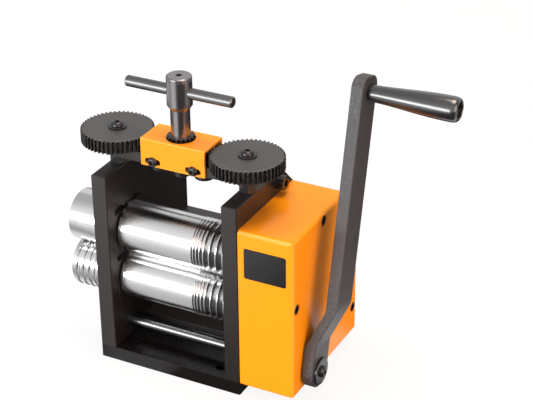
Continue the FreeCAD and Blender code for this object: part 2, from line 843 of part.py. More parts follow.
def drive_idler_stud():
    """Shoulder stud in the right plate that carries the idler."""
    y, z = drive_idler_place()
    radius = idler_stud_radius()
    shoulder = radius + bush_wall
    end = drive_gear_end + ring_clip_play + ring_clip_thickness + pin_tail
    return turned([(plate_inner, radius), (plate_outer, radius), (plate_outer, shoulder),
                   (drive_gear_start - ring_clip_play, shoulder), (drive_gear_start - ring_clip_play, radius),
                   (end, radius)], Vector(0, y, z), Vector(1, 0, 0))


def drive_pinion():
    """Pinion with a set screw collar on the drive shaft."""
    disc = drive_gear(pinion_teeth, drive_wheel_phases()[0])
    collar = Part.makeCylinder(drive_shaft_diameter / 2 + bush_wall, drive_width / 2)
    collar.translate(Vector(0, 0, -drive_width / 2))
    disc = disc.fuse(collar).removeSplitter()
    bore = Part.makeCylinder(drive_shaft_diameter / 2 + running_clearance, 2 * drive_width)
    bore.translate(Vector(0, 0, -drive_width))
    return along_x(disc.cut(bore), drive_gear_start, drive_y, drive_height)


# Crank

def shaft_flats(clearance):
    """The double flat on the drive shaft's end, as the solid that stays."""
    half = drive_shaft_diameter * flat_ratio + clearance
    wide = drive_shaft_diameter
    return block(crank_inner - overrun, crank_outer + overrun, -wide, wide, -half, half)


def drive_shaft():
    radius = drive_shaft_diameter / 2
    end = crank_outer - stub_gap
    thread = crank_screw_diameter / 2 + screw_clearance
    shaft = turned([(-plate_outer, radius - drive_shaft_edge), (-plate_outer + drive_shaft_edge, radius),
                    (end - drive_shaft_edge, radius), (end, radius - drive_shaft_edge)],
                   Vector(0, 0, 0), Vector(1, 0, 0))
    tail = x_rod(radius + overrun, crank_inner, end + overrun, 0, 0)
    shaft = shaft.cut(tail.cut(shaft_flats(0)))
    return leaned(shaft.cut(x_rod(thread, end - frame_screw_grip - tap_room, end + overrun, 0, 0)))


def leaned(solid):
    """Turns a piece made on an upright crank to the crank's lean and moves it to the drive shaft."""
    solid.rotate(Vector(0, 0, 0), Vector(1, 0, 0), -crank_lean)
    solid.translate(Vector(0, drive_y, drive_height))
    return solid


def crank_bar():
    """The flat bar with its double bend, square at both ends, upright."""
    end = crank_length + crank_width
    outline = [(0, -crank_width), (0, crank_bend_start), (crank_offset, crank_bend_end), (crank_offset, end),
               (crank_offset + crank_thickness, end), (crank_offset + crank_thickness, crank_bend_end),
               (crank_thickness, crank_bend_start), (crank_thickness, -crank_width)]
    points = [Vector(crank_inner + x, -crank_width / 2, z) for x, z in outline]
    bar = Part.Face(Part.makePolygon(points + [points[0]])).extrude(Vector(0, crank_width, 0))
    bends = [e for e in bar.Edges if abs(e.tangentAt(e.FirstParameter).y) > 0.9
             and crank_bend_start - 1 < e.BoundBox.ZMin < crank_bend_end + 1]
    return bar.makeFillet(crank_bend_radius, bends)


def crank_arm():
    """The bar rounded at both ends and bored for the shaft's flats and the grip's bolt."""
    near = crank_inner - overrun
    reach = crank_outer + crank_offset + overrun
    half = crank_width / 2
    slab = block(near, reach, -half, half, 0, crank_length)
    for height in (0, crank_length):
        slab = slab.fuse(x_rod(half, near, reach, 0, height))
    arm = crank_bar().common(slab.removeSplitter())
    socket = x_rod(drive_shaft_diameter / 2 + running_clearance, near, crank_outer + overrun, 0, 0)
    arm = arm.cut(socket.common(shaft_flats(running_clearance)))
    arm = arm.cut(x_rod(grip_bolt_diameter / 2 + screw_clearance, near, reach, 0, crank_length))
    return leaned(arm.removeSplitter())


def crank_washer():
    inner = crank_screw_diameter + 2 * screw_clearance
    place = Vector(crank_outer, 0, 0)
    return leaned(washer(crank_washer_diameter, inner, crank_washer_thickness, place, Vector(1, 0, 0)))


def crank_screw():
    place = Vector(crank_outer + crank_washer_thickness, 0, 0)
    return leaned(button_screw(crank_screw_diameter, frame_screw_grip, place, Vector(1, 0, 0)))


def grip_bolt():
    """Shoulder bolt that carries the grip, its head in the grip's hollow end."""
    radius = grip_bolt_diameter / 2
    seat = grip_start + grip_length - grip_hollow_depth + grip_bolt_play
    top = seat + grip_bolt_head_height
    head = grip_hollow_diameter / 2 - grip_head_room
    bolt = turned([(crank_inner + crank_offset, radius), (seat, radius), (seat, head),
                   (top - grip_bolt_head_edge, head), (top, head - grip_bolt_head_edge)],
                  Vector(0, 0, crank_length), Vector(1, 0, 0))
    half = grip_bolt_slot_width / 2
    floor = top - grip_bolt_slot_depth
    slot = block(floor, top + overrun, -head, head, crank_length - half, crank_length + half)
    return leaned(bolt.cut(slot))


def grip_section():
    """Half of the grip's section: x is the radius and z the distance along the crank's X."""
    small = grip_small_diameter / 2
    large = grip_large_diameter / 2
    end = grip_start + grip_length
    corner = grip_round * (1 - math.sqrt(0.5))
    start = Vector(0, 0, grip_start)
    mouth = Vector(small - grip_edge, 0, grip_start)
    neck = Vector(small, 0, grip_start + grip_edge)
    swell = Vector(small + (large - small) * grip_swell, 0, grip_start + grip_length * grip_swell_place)
    belly = Vector(large, 0, end - grip_length * grip_straight)
    rim = Vector(large, 0, end - grip_round)
    turn = Vector(large - corner, 0, end - corner)
    brim = Vector(large - grip_round, 0, end)
    middle = Vector(0, 0, end)
    curves = [Part.LineSegment(start, mouth), Part.LineSegment(mouth, neck), Part.Arc(neck, swell, belly),
              Part.LineSegment(belly, rim), Part.Arc(rim, turn, brim), Part.LineSegment(brim, middle),
              Part.LineSegment(middle, start)]
    return Part.Face(Part.Wire([curve.toShape() for curve in curves]))


def grip():
    """The tapered handle that turns on its bolt, hollow at its outer end."""
    end = grip_start + grip_length
    bore = grip_bolt_diameter / 2 + running_clearance
    hollow = Vector(0, 0, end - grip_hollow_depth)
    body = grip_section().revolve(Vector(0, 0, 0), Vector(0, 0, 1), 360)
    body = body.cut(Part.makeCylinder(bore, end))
    body = body.cut(Part.makeCylinder(grip_hollow_diameter / 2, grip_hollow_depth + overrun, hollow))
    return leaned(aimed(body, Vector(0, 0, crank_length), Vector(1, 0, 0)))


# Gear cover

def cover_body(inset):
    """The cover's outer form, or with inset the space inside it, open towards the plate."""
    y0 = front + cover_front_setback + inset
    y1 = back - cover_rear_setback - inset
    z0 = cover_bottom + inset
    z1 = cover_top - inset
    chamfer = cover_chamfer - inset * (2 - math.sqrt(2))
    outline = [(y0, z0), (y1, z0), (y1, z1 - chamfer), (y1 - chamfer, z1), (y0, z1)]
    start = plate_outer - (overrun if inset else 0)
    points = [Vector(start, y, z) for y, z in outline]
    length = cover_outer - inset - start
    solid = Part.Face(Part.makePolygon(points + [points[0]])).extrude(Vector(length, 0, 0))
    rounds = [e for e in solid.Edges if e.BoundBox.XMax > start + 0.01]
    return solid.makeFillet(cover_round - inset, rounds)


def cover_recess_radius():
    return cover_screw_diameter * head_ratio / 2 + cover_recess_clearance


def cover_recess_floor():
    """Inner face of the floor of the cups that hide the screws' heads."""
    return cover_outer - cover_screw_diameter - cover_wall


def gear_cover():
    """The shell, with a cup in its outer wall for each screw's head."""
    shell = cover_body(0).cut(cover_body(cover_wall))
    outside = cover_outer + overrun
    bush = drive_shaft_diameter / 2 + cover_bush_wall + screw_clearance / 2
    shell = shell.cut(x_rod(bush, cover_outer - cover_wall - overrun, outside, drive_y, drive_height))
    floor = cover_recess_floor()
    recess = cover_recess_radius()
    skin = cover_body(cover_wall / 2)
    for y, z in cover_post_places:
        cup = x_rod(recess + cover_wall, floor, cover_outer, y, z)
        shell = shell.fuse(cup.common(skin))
    for y, z in cover_post_places:
        shell = shell.cut(x_rod(recess, floor + cover_wall, outside, y, z))
        shell = shell.cut(x_rod(cover_screw_diameter / 2 + screw_clearance, floor - overrun, outside, y, z))
    return shell


def cover_bush():
    """Bush of the drive shaft in the cover's wall, its collar inside."""
    radius = drive_shaft_diameter / 2 + cover_bush_wall
    face = cover_outer - cover_wall
    end = cover_outer + cover_bush_rise
    bush = x_rod(radius, face, end, drive_y, drive_height)
    collar = x_rod(radius + cover_bush_collar, face - cover_bush_collar_height, face, drive_y, drive_height)
    bore = x_rod(drive_shaft_diameter / 2 + running_clearance, 0, end + overrun, drive_y, drive_height)
    return bush.fuse(collar).cut(bore).removeSplitter()


def cover_posts():
    """Posts with a spigot in the right plate, each tapped for one of the cover's screws."""
    floor = cover_recess_floor()
    spigot = cover_screw_diameter / 2
    posts = []
    for y, z in cover_post_places:
        post = x_rod(cover_post_diameter / 2, plate_outer, floor, y, z)
        post = post.fuse(x_rod(spigot, plate_outer - cover_spigot_length, plate_outer, y, z))
        hole = x_rod(spigot + screw_clearance, floor - cover_screw_grip - tap_room, cover_outer, y, z)
        posts.append(post.cut(hole))
    return posts


def cover_screws():
    grip = cover_wall + cover_screw_grip
    seat = cover_recess_floor() + cover_wall
    return [cap_screw(cover_screw_diameter, grip, Vector(seat, y, z), Vector(1, 0, 0))
            for y, z in cover_post_places]


# Adjusting train

def hex_bush():
    """Threaded bush in the right plate's top edge; the bridge bar sits on its hexagon."""
    head = hexagon(hex_bush_flats, hex_bush_height)
    head.translate(Vector(spindle_x, axis_y, plate_top))
    thread = hex_bush_flats / 2 - hex_bush_shoulder
    bush = head.fuse(z_rod(thread, plate_top - hex_bush_depth, plate_top, spindle_x, axis_y))
    bore = spindle_diameter / 2 + running_clearance
    return bush.cut(z_rod(bore, 0, bridge_bottom + overrun, spindle_x, axis_y))


def bridge_bar():
    """Flat bar with round ends over both plates; carries the handle and the two idlers."""
    half = bridge_width / 2
    bar = block(-spindle_x, spindle_x, axis_y - half, axis_y + half, bridge_bottom, bridge_top)
    for side in (-1, 1):
        bar = bar.fuse(z_rod(half, bridge_bottom, bridge_top, side * spindle_x, axis_y))
    bar = bar.removeSplitter()
    holes = [(side * spindle_x, spindle_diameter / 2 + bridge_hole_room) for side in (-1, 1)]
    holes += [(side * idler_x, idler_pin_diameter / 2 + screw_clearance) for side in (-1, 1)]
    holes.append((0, handle_shank_diameter / 2 + bush_wall / 2))
    for x, radius in holes:
        bar = bar.cut(z_rod(radius, bridge_bottom - overrun, bridge_top + overrun, x, axis_y))
    depth = hood_screw_grip() + tap_room
    for place, direction in hood_screw_places():
        start = place - direction * depth
        bar = bar.cut(rod(hood_screw_diameter / 2 + screw_clearance, 0, depth + overrun, start, direction))
    return bar


def hood_screw_grip():
    return hood_wall + hood_screw_depth


def hood_screw_places():
    z = bridge_bottom + bridge_thickness / 2
    reach = bridge_width / 2 + hood_clearance + hood_wall
    return [(Vector(x, axis_y + side * reach, z), Vector(0, side, 0))
            for x in (-slot_spacing / 2, slot_spacing / 2) for side in (-1, 1)]


def hood_slot(x):
    """The cutter of one slot with round ends, through both of the hood's walls."""
    z = bridge_bottom + bridge_thickness / 2
    reach = bridge_width / 2 + hood_clearance + hood_wall + overrun
    half = slot_height / 2
    end = slot_length / 2 - half
    slot = block(x - end, x + end, axis_y - reach, axis_y + reach, z - half, z + half)
    for side in (-1, 1):
        slot = slot.fuse(y_rod(half, axis_y - reach, axis_y + reach, x + side * end, z))
    return slot.removeSplitter()


def hood():
    """The folded sheet cover over the small gears, open at both ends and slotted for its screws."""
    inner = bridge_width / 2 + hood_clearance
    outer = inner + hood_wall
    half = hood_half
    shell = block(-half, half, axis_y - outer, axis_y + outer, bridge_bottom, hood_top)
    folds = [e for e in shell.Edges if abs(e.tangentAt(e.FirstParameter).x) > 0.9
             and e.BoundBox.ZMin > hood_top - 0.1]
    shell = shell.makeFillet(edge_break, folds)
    half += overrun
    hollow = block(-half, half, axis_y - inner, axis_y + inner, bridge_bottom - overrun, hood_top - hood_wall)
    shell = shell.cut(hollow)
    hole = fine_module * handle_teeth / 2 + fine_addendum + hood_hole_clearance
    shell = shell.cut(z_rod(hole, bridge_bottom, hood_top + overrun, 0, axis_y))
    for x in (-slot_spacing / 2, slot_spacing / 2):
        shell = shell.cut(hood_slot(x))
    return shell


def hood_screws():
    grip = hood_screw_grip()
    return [button_screw(hood_screw_diameter, grip, place, outward) for place, outward in hood_screw_places()]


def fine_gear(teeth, width, phase):
    return toothed_disc(teeth, fine_module, fine_addendum, fine_dedendum, fine_backlash, width, phase)


def train_phases(side):
    """Phases of the idler and the spindle gear on one side, in mesh with the handle's pinion."""
    direction = 0.0 if side > 0 else math.pi
    idler = meshed_phase(0.0, handle_teeth, direction, idler_teeth)
    return idler, meshed_phase(idler, idler_teeth, direction, spindle_teeth)


def idler_gear(side):
    disc = fine_gear(idler_teeth, idler_thickness, train_phases(side)[0])
    gear = bored_gear(disc, idler_pin_diameter / 2, idler_thickness, False)
    gear.translate(Vector(side * idler_x, axis_y, gear_bottom))
    return gear


def idler_pins():
    """Shoulder bolts from below the bridge bar, one for each idler, with a round head."""
    radius = idler_pin_diameter / 2
    top = gear_bottom + idler_thickness + ring_clip_play + ring_clip_thickness + pin_tail
    low = bridge_bottom - idler_pin_head_height
    head = idler_pin_head_diameter / 2
    profile = [(low, head - idler_pin_head_edge), (low + idler_pin_head_edge, head), (bridge_bottom, head),
               (bridge_bottom, radius), (top, radius)]
    return [turned(profile, Vector(side * idler_x, axis_y, 0), Vector(0, 0, 1)) for side in (-1, 1)]


def retaining_ring(shaft, place, direction):
    return washer(shaft + 2 * ring_clip_width, shaft, ring_clip_thickness, place, direction)


def retaining_rings():
    """Rings that hold the two small idlers and the drive idler on their pins."""
    top = gear_bottom + idler_thickness + ring_clip_play
    stud_y, stud_z = drive_idler_place()
    stud = Vector(drive_gear_end + ring_clip_play, stud_y, stud_z)
    rings = [retaining_ring(idler_pin_diameter, Vector(side * idler_x, axis_y, top), Vector(0, 0, 1))
             for side in (-1, 1)]
    return rings + [retaining_ring(2 * idler_stud_radius(), stud, Vector(1, 0, 0))]


def spindle_gear(side):
    """Large gear; its hole has a flat that drives the spindle."""
    disc = fine_gear(spindle_teeth, spindle_gear_thickness, train_phases(side)[1])
    radius = spindle_diameter / 2 - spindle_shoulder + running_clearance
    bore = Part.makeCylinder(radius, spindle_gear_thickness)
    flat = block(-radius, spindle_diameter * flat_ratio, -radius, radius, 0, spindle_gear_thickness)
    gear = disc.cut(bore.common(flat))
    gear.translate(Vector(side * spindle_x, axis_y, gear_bottom))
    return gear


def spindle(side):
    """Adjusting screw: foot in the bearing block, thread in the plate, flatted seat for its gear."""
    foot = upper_block_top - spindle_seat_depth
    radius = spindle_diameter / 2
    top = gear_bottom + spindle_gear_thickness - stub_gap
    seat = radius - spindle_shoulder
    flat = spindle_diameter * flat_ratio - running_clearance
    depth = gear_screw_grip + tap_room
    solid = turned([(foot, radius - spindle_foot_edge), (foot + spindle_foot_edge, radius),
                    (gear_bottom, radius), (gear_bottom, seat), (top, seat)],
                   Vector(0, 0, 0), Vector(0, 0, 1))
    solid = solid.cut(block(flat, radius, -radius, radius, gear_bottom, top))
    solid = solid.cut(z_rod(gear_screw_diameter / 2 + screw_clearance, top - depth, top + overrun, 0, 0))
    solid.translate(Vector(side * spindle_x, axis_y, 0))
    return solid


def spindle_washer(side):
    place = Vector(side * spindle_x, axis_y, gear_bottom + spindle_gear_thickness)
    inner = gear_screw_diameter + 2 * screw_clearance
    return washer(gear_washer_diameter, inner, gear_washer_thickness, place, Vector(0, 0, 1))


def spindle_screw(side):
    seat = gear_bottom + spindle_gear_thickness + gear_washer_thickness
    place = Vector(side * spindle_x, axis_y, seat)
    return button_screw(gear_screw_diameter, gear_screw_grip, place, Vector(0, 0, 1))


# T-handle

def handle_bush():
    outer = handle_shank_diameter / 2 + bush_wall / 2
    inner = handle_shank_diameter / 2 + running_clearance
    bush = z_rod(outer, bridge_bottom, bridge_top + handle_bush_rise, 0, axis_y)
    return bush.cut(z_rod(inner, bridge_bottom - overrun, bridge_top + overrun, 0, axis_y))


def handle_hub_top():
    return hood_top + handle_shaft_length + handle_hub_height


def handle_bar_axis():
    return handle_hub_top() - handle_bar_drop


def handle_low_end():
    return bridge_bottom - handle_collar_gap - handle_collar_height


def handle_spindle():
    """Hub, shaft and shank of the T-handle in one turned piece."""
    shank = handle_shank_diameter / 2
    shaft = handle_shaft_diameter / 2
    hub = handle_hub_diameter / 2
    top = handle_hub_top()
    shoulder = hood_top + handle_pinion_rise
    hub_low = hood_top + handle_shaft_length
    solid = turned([(handle_low_end(), shank), (shoulder, shank), (shoulder, shaft),
                    (hub_low - handle_cone_height, shaft), (hub_low, hub), (top - handle_hub_edge, hub),
                    (top, hub - handle_hub_edge)], Vector(0, axis_y, 0), Vector(0, 0, 1))
    reach = hub + overrun
    bar = handle_bar_diameter / 2 + running_clearance
    screw = set_screw_diameter / 2 + screw_clearance
    solid = solid.cut(x_rod(bar, -reach, reach, axis_y, handle_bar_axis()))
    return solid.cut(z_rod(screw, handle_bar_axis(), top + overrun, 0, axis_y))


def handle_pinion():
    """The pinion on the shank, under the shaft's shoulder; its teeth stand a little above the hood."""
    low = bridge_top + handle_pinion_gap
    height = hood_top + handle_pinion_rise - low
    disc = bored_gear(fine_gear(handle_teeth, height, 0.0), handle_shank_diameter / 2, height, False)
    disc.translate(Vector(0, axis_y, low))
    return disc


def handle_bar():
    half = handle_bar_length / 2
    radius = handle_bar_diameter / 2
    edge = handle_bar_edge
    profile = [(-half, radius - edge), (edge - half, radius), (half - edge, radius), (half, radius - edge)]
    return turned(profile, Vector(0, axis_y, handle_bar_axis()), Vector(1, 0, 0))


def handle_set_screw():
    low = handle_bar_axis() + handle_bar_diameter / 2
    high = handle_hub_top() - set_screw_recess
    socket = hexagon(set_screw_socket, set_screw_socket + overrun)
    socket.translate(Vector(0, axis_y, high - set_screw_socket))
    return z_rod(set_screw_diameter / 2, low, high, 0, axis_y).cut(socket)


def handle_collar():
    low = handle_low_end()
    collar = z_rod(handle_collar_diameter / 2, low, low + handle_collar_height, 0, axis_y)
    return collar.cut(z_rod(handle_shank_diameter / 2 + running_clearance, 0, bridge_bottom, 0, axis_y))


def nodes():
    lower, upper = lower_axis_height, upper_axis_height
    lower_end, upper_end = lower_roller_end(), upper_roller_end()
    made = {
        "base_plate": [base_plate()],
        "base_screws": base_screws(),
        "side_plate_left": [side_plate(-1)],
        "side_plate_right": [side_plate(1)],
        "rear_cross_plate": [cross_plate()],
        "lower_stiffener": [lower_plate()],
        "cross_plate_screws": cross_plate_screws(),
        "upper_tie_rod": [tie_rod()],
        "tie_rod_screws": tie_rod_screws(),
        "lower_bearing_blocks": both_sides(lower_block()),
        "lower_roller_bushes": both_sides(roller_bush(lower)),
        "upper_bearing_blocks": both_sides(upper_block()),
        "upper_roller_bushes": both_sides(roller_bush(upper)),
        "lift_springs": lift_springs(),
        "drive_shaft_bushes": [drive_bush(-1), drive_bush(1)],
        "lower_roller": [keyed_roller(lower, lower_end)],
        "lower_roller_keys": roller_keys(lower, lower_end),
        "upper_roller": [keyed_roller(upper, upper_end)],
        "upper_roller_keys": roller_keys(upper, upper_end),
        "plain_ring": [outer_ring(upper, ())],
        "grooved_ring": [outer_ring(lower, ring_grooves)],
        "upper_roller_washers": roller_washers(upper, coarse_end),
        "upper_roller_screws": roller_screws(upper, coarse_end),
        "lower_roller_washers": roller_washers(lower, drive_gear_end),
        "lower_roller_screws": roller_screws(lower, drive_gear_end),
        "lower_roller_gear": [lower_coarse_gear()],
        "upper_roller_gear": [upper_coarse_gear()],
        "drive_wheel": [drive_wheel()],
        "drive_idler": [drive_idler()],
        "drive_idler_bush": [drive_idler_bush()],
        "drive_idler_stud": [drive_idler_stud()],
        "drive_pinion": [drive_pinion()],
        "drive_shaft": [drive_shaft()],
        "crank_arm": [crank_arm()],
        "crank_washer": [crank_washer()],
        "crank_screw": [crank_screw()],
        "grip_bolt": [grip_bolt()],
        "crank_grip": [grip()],
        "gear_cover": [gear_cover()],
        "cover_bush": [cover_bush()],
        "cover_posts": cover_posts(),
        "cover_screws": cover_screws(),
        "spindle_bushes": both_sides(hex_bush()),
        "bridge_bar": [bridge_bar()],
        "gear_hood": [hood()],
        "gear_hood_screws": hood_screws(),
        "idler_pins": idler_pins(),
        "retaining_rings": retaining_rings(),
        "handle_bush": [handle_bush()],
        "handle_spindle": [handle_spindle()],
        "handle_pinion": [handle_pinion()],
        "handle_bar": [handle_bar()],
        "handle_set_screw": [handle_set_screw()],
        "handle_collar": [handle_collar()],
    }
    for name, side in (("left", -1), ("right", 1)):
        made["idler_gear_" + name] = [idler_gear(side)]
        made["spindle_gear_" + name] = [spindle_gear(side)]
        made["spindle_" + name] = [spindle(side), spindle_washer(side), spindle_screw(side)]
    return made


os.makedirs("parts", exist_ok=True)
for node, solids in nodes().items():
    shape = solids[0] if len(solids) == 1 else Part.makeCompound(solids)
    shape.exportStep("parts/" + node + ".step")
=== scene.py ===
import json
import math

import bmesh
import bpy
from bpy.props import FloatProperty, FloatVectorProperty, IntProperty, PointerProperty
from mathutils import Matrix, Vector


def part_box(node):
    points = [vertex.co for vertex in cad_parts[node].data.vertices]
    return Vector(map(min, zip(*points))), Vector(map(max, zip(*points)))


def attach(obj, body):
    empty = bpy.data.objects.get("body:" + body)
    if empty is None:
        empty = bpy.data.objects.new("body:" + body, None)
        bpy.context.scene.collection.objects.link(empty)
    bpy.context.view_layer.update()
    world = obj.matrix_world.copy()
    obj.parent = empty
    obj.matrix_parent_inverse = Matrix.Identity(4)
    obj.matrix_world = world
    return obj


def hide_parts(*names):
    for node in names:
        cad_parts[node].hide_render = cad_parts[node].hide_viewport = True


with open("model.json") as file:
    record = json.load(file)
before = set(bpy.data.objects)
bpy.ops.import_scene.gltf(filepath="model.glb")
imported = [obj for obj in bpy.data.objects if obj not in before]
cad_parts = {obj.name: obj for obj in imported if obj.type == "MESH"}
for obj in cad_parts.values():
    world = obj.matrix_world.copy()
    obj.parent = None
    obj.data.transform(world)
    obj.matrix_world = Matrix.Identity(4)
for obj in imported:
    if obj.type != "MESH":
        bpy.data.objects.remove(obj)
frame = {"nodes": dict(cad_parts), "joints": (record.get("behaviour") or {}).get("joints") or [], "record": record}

bl_info = {
    "name": "Jewellers rolling mill dressing",
    "version": (1, 0, 0),
    "blender": (4, 5, 0),
    "location": "View3D > Sidebar > Mill",
    "description": "Gives a hand cranked rolling mill its finishes, rounded edges, fasteners and studio",
    "category": "Object",
}

MM = 0.001
WHITE = (1, 1, 1, 1)
ORIGIN = Vector((0, 0, 0))
X, Y, Z = range(3)
AXES = (Vector((1, 0, 0)), Vector((0, 1, 0)), Vector((0, 0, 1)))
X_AXIS, Z_AXIS = AXES[X], AXES[Z]
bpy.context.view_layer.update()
BODY_OF = {node: body for body, nodes in frame["record"]["behaviour"]["bodies"].items() for node in nodes}
SLOT_OF = {part["node"]: part["material_slot"] for part in frame["record"]["subparts"]}


def hinge_place(name):
    """Where a hinge of the mill sits, in metres."""
    return Vector(next(joint for joint in frame["joints"] if joint["name"] == name)["pos_m"])


def on_shaft(axis, x):
    """The point at this X on a shaft that lies along X through a point of its axis."""
    return Vector((x, axis.y, axis.z))


def on_upright(axis, z):
    """The point at this height on an upright axis through a point of it."""
    return Vector((axis.x, axis.y, z))


# Settings that a user would change

class ShapeSettings(bpy.types.PropertyGroup):
    """Edges and facets of the dressed pieces"""

    plate_edge: FloatProperty(
        name="Plate edge", description="Width of the rounded edges of the black steel plates",
        default=0.45 * MM, min=0.05 * MM, max=2 * MM, unit="LENGTH")
    cover_edge: FloatProperty(
        name="Cover edge", description="Radius of the gear cover's rounded edges",
        default=3.5 * MM, min=2 * MM, max=8 * MM, unit="LENGTH")
    fine_edge: FloatProperty(
        name="Fine edge", description="Width of the broken edges of the gears and the hood",
        default=0.22 * MM, min=0.02 * MM, max=1 * MM, unit="LENGTH")
    turning_steps: IntProperty(
        name="Turning steps", description="Facets round a roller or a ring on its stub",
        default=144, min=24, max=360)


class ColourSettings(bpy.types.PropertyGroup):
    """Colours of the main finishes"""

    paint: FloatVectorProperty(
        name="Cover paint", description="Colour of the painted gear cover and hood",
        default=(1.0, 0.335, 0.006), min=0, max=1, subtype="COLOR")
    frame_black: FloatVectorProperty(
        name="Frame black", description="Colour of the coated frame plates",
        default=(0.0135, 0.0095, 0.009), min=0, max=1, subtype="COLOR")
    gear_black: FloatVectorProperty(
        name="Gear black", description="Colour of the blackened gears on top",
        default=(0.092, 0.092, 0.093), min=0, max=1, subtype="COLOR")
    steel: FloatVectorProperty(
        name="Roller steel", description="Colour of the ground and polished rollers",
        default=(0.83, 0.83, 0.825), min=0, max=1, subtype="COLOR")


class StageSettings(bpy.types.PropertyGroup):
    """Light of the stage"""

    key_power: FloatProperty(
        name="Key light", description="Power of the soft light above and to the left",
        default=10.0, min=0, max=100, unit="POWER")
    side_power: FloatProperty(
        name="Side light", description="Power of the warm light on the crank's side",
        default=16.0, min=0, max=100, unit="POWER")
    top_power: FloatProperty(
        name="Top light", description="Power of the warm light straight above",
        default=14.0, min=0, max=100, unit="POWER")
    front_power: FloatProperty(
        name="Front light", description="Power of the long low light in front of the mill",
        default=34.0, min=0, max=100, unit="POWER")
    soft_light: FloatProperty(
        name="Soft light", description="Strength of the even light from the room in front of the mill",
        default=0.72, min=0, max=3)
    far_light: FloatProperty(
        name="Far light", description="Strength of the even light from the room behind the mill",
        default=0.35, min=0, max=3)
    mirrored_light: FloatProperty(
        name="Mirrored light", description="Brightness of the room where polished metal mirrors it",
        default=0.95, min=0, max=2)


# Finishes

class Wire:
    """A node's socket; arithmetic on it adds the Math nodes."""

    def __init__(self, graph, socket):
        self.graph = graph
        self.socket = socket

    def maths(self, operation, first, second):
        return self.graph.node("ShaderNodeMath", {"operation": operation}, {0: first, 1: second})

    def __add__(self, other):
        return self.maths("ADD", self, other)

    def __sub__(self, other):
        return self.maths("SUBTRACT", self, other)

    def __rsub__(self, other):
        return self.maths("SUBTRACT", other, self)

    def __mul__(self, other):
        return self.maths("MULTIPLY", self, other)

    __radd__ = __add__
    __rmul__ = __mul__


class Graph:
    """A node tree whose nodes are added by type."""

    def __init__(self, tree):
        self.tree = tree

    def node(self, kind, settings=None, inputs=None, output=0):
        """Adds a node, sets it up, feeds its inputs with values or wires, and returns one of its outputs."""
        made = self.tree.nodes.new(kind)
        for key, value in (settings or {}).items():
            setattr(made, key, value)
        for key, value in (inputs or {}).items():
            self.plug(made.inputs[key], value)
        return Wire(self, made.outputs[output]) if made.outputs else None

    def plug(self, socket, value):
        """Feeds an input socket with a wire or a plain value."""
        if isinstance(value, Wire):
            self.tree.links.new(value.socket, socket)
        else:
            socket.default_value = value

    def between(self, value, low, high, kind="LINEAR"):
        """The value spread so that low becomes 0 and high becomes 1, and no further."""
        inputs = {"Value": value, "From Min": low, "From Max": high}
        return self.node("ShaderNodeMapRange", {"interpolation_type": kind}, inputs)

    def blend(self, factor, first, second):
        """The first colour where the factor is 0 and the second where it is 1."""
        return self.node("ShaderNodeMix", {"data_type": "RGBA"}, {0: factor, 6: first, 7: second}, output=2)

    def either(self, factor, first, second):
        """The first shader where the factor is 0 and the second where it is 1."""
        return self.node("ShaderNodeMixShader", inputs={0: factor, 1: first, 2: second})

    def ray(self, kind):
        """1 for the rays of this kind and 0 for the others."""
        return self.node("ShaderNodeLightPath", output=kind)


class Finish(Graph):
    """A material with one glossy or metallic shader; fixed holds what is the same all over it."""

    def __init__(self, name, **fixed):
        self.material = bpy.data.materials.new(name)
        self.material.use_nodes = True
        super().__init__(self.material.node_tree)
        self.shader = self.tree.nodes["Principled BSDF"]
        for socket, value in fixed.items():
            self.set(socket.replace("_", " "), value)
        self.place = self.node("ShaderNodeTexCoord", output="Object")

    def set(self, socket, value):
        self.plug(self.shader.inputs[socket], value)

    def cloud(self, size, stretch=(1, 1, 1), detail=2.0, roughness=0.5):
        """Noise from 0 to 1 with spots of this size, drawn out along the axes by stretch."""
        scale = tuple(1 / size / along for along in stretch)
        mapped = self.node("ShaderNodeMapping", inputs={"Vector": self.place, "Scale": scale})
        inputs = {"Vector": mapped, "Scale": 1.0, "Detail": detail, "Roughness": roughness}
        return self.node("ShaderNodeTexNoise", inputs=inputs)

    def mark(self, name):
        """1 on the faces that carry this mark, such as a piece's rounded edges, and 0 elsewhere."""
        return self.node("ShaderNodeAttribute", {"attribute_name": name}, output="Fac")

    def shade(self, factor, colour, dark, bright):
        """The colour with a gain of dark where the factor is 0 and of bright where it is 1."""
        return self.blend(factor, opaque(colour, dark), opaque(colour, bright))

    def done(self, colour, roughness, height, distance):
        """Gives the shader what changes over the surface, bumps of this height too; returns the material."""
        self.set("Base Color", colour)
        self.set("Roughness", roughness)
        self.set("Normal", self.node("ShaderNodeBump", inputs={"Height": height, "Distance": distance}))
        return self.material


def opaque(colour, gain=1.0):
    """A colour made brighter by the gain, with full alpha."""
    return tuple(min(1.0, part * gain) for part in colour[:3]) + (1.0,)


def coated_steel(name, colour, roughness, glint):
    """Satin black coating: fine grain, faint handling marks and edges that are a little paler."""
    finish = Finish(name, Specular_IOR_Level=0.65)
    grain = 0.35 * MM
    fine = finish.cloud(grain, detail=3.0)
    marks = finish.cloud(14 * MM, stretch=(1, 1, 2.2), detail=4.0, roughness=0.6)
    # Edges painted paler in patches: partly wear, partly a painted highlight along the edges.
    wear_and_highlight = finish.mark("edge") * finish.between(finish.cloud(5 * MM, detail=3.0), 0.3, 0.7)
    base = finish.shade(marks, colour, 0.82, 1.2)
    tint = finish.blend(wear_and_highlight * 0.8, base, opaque(colour, glint))
    return finish.done(tint, roughness + 0.12 * (marks - 0.5) + 0.10 * (fine - 0.5), fine, grain * 0.1)


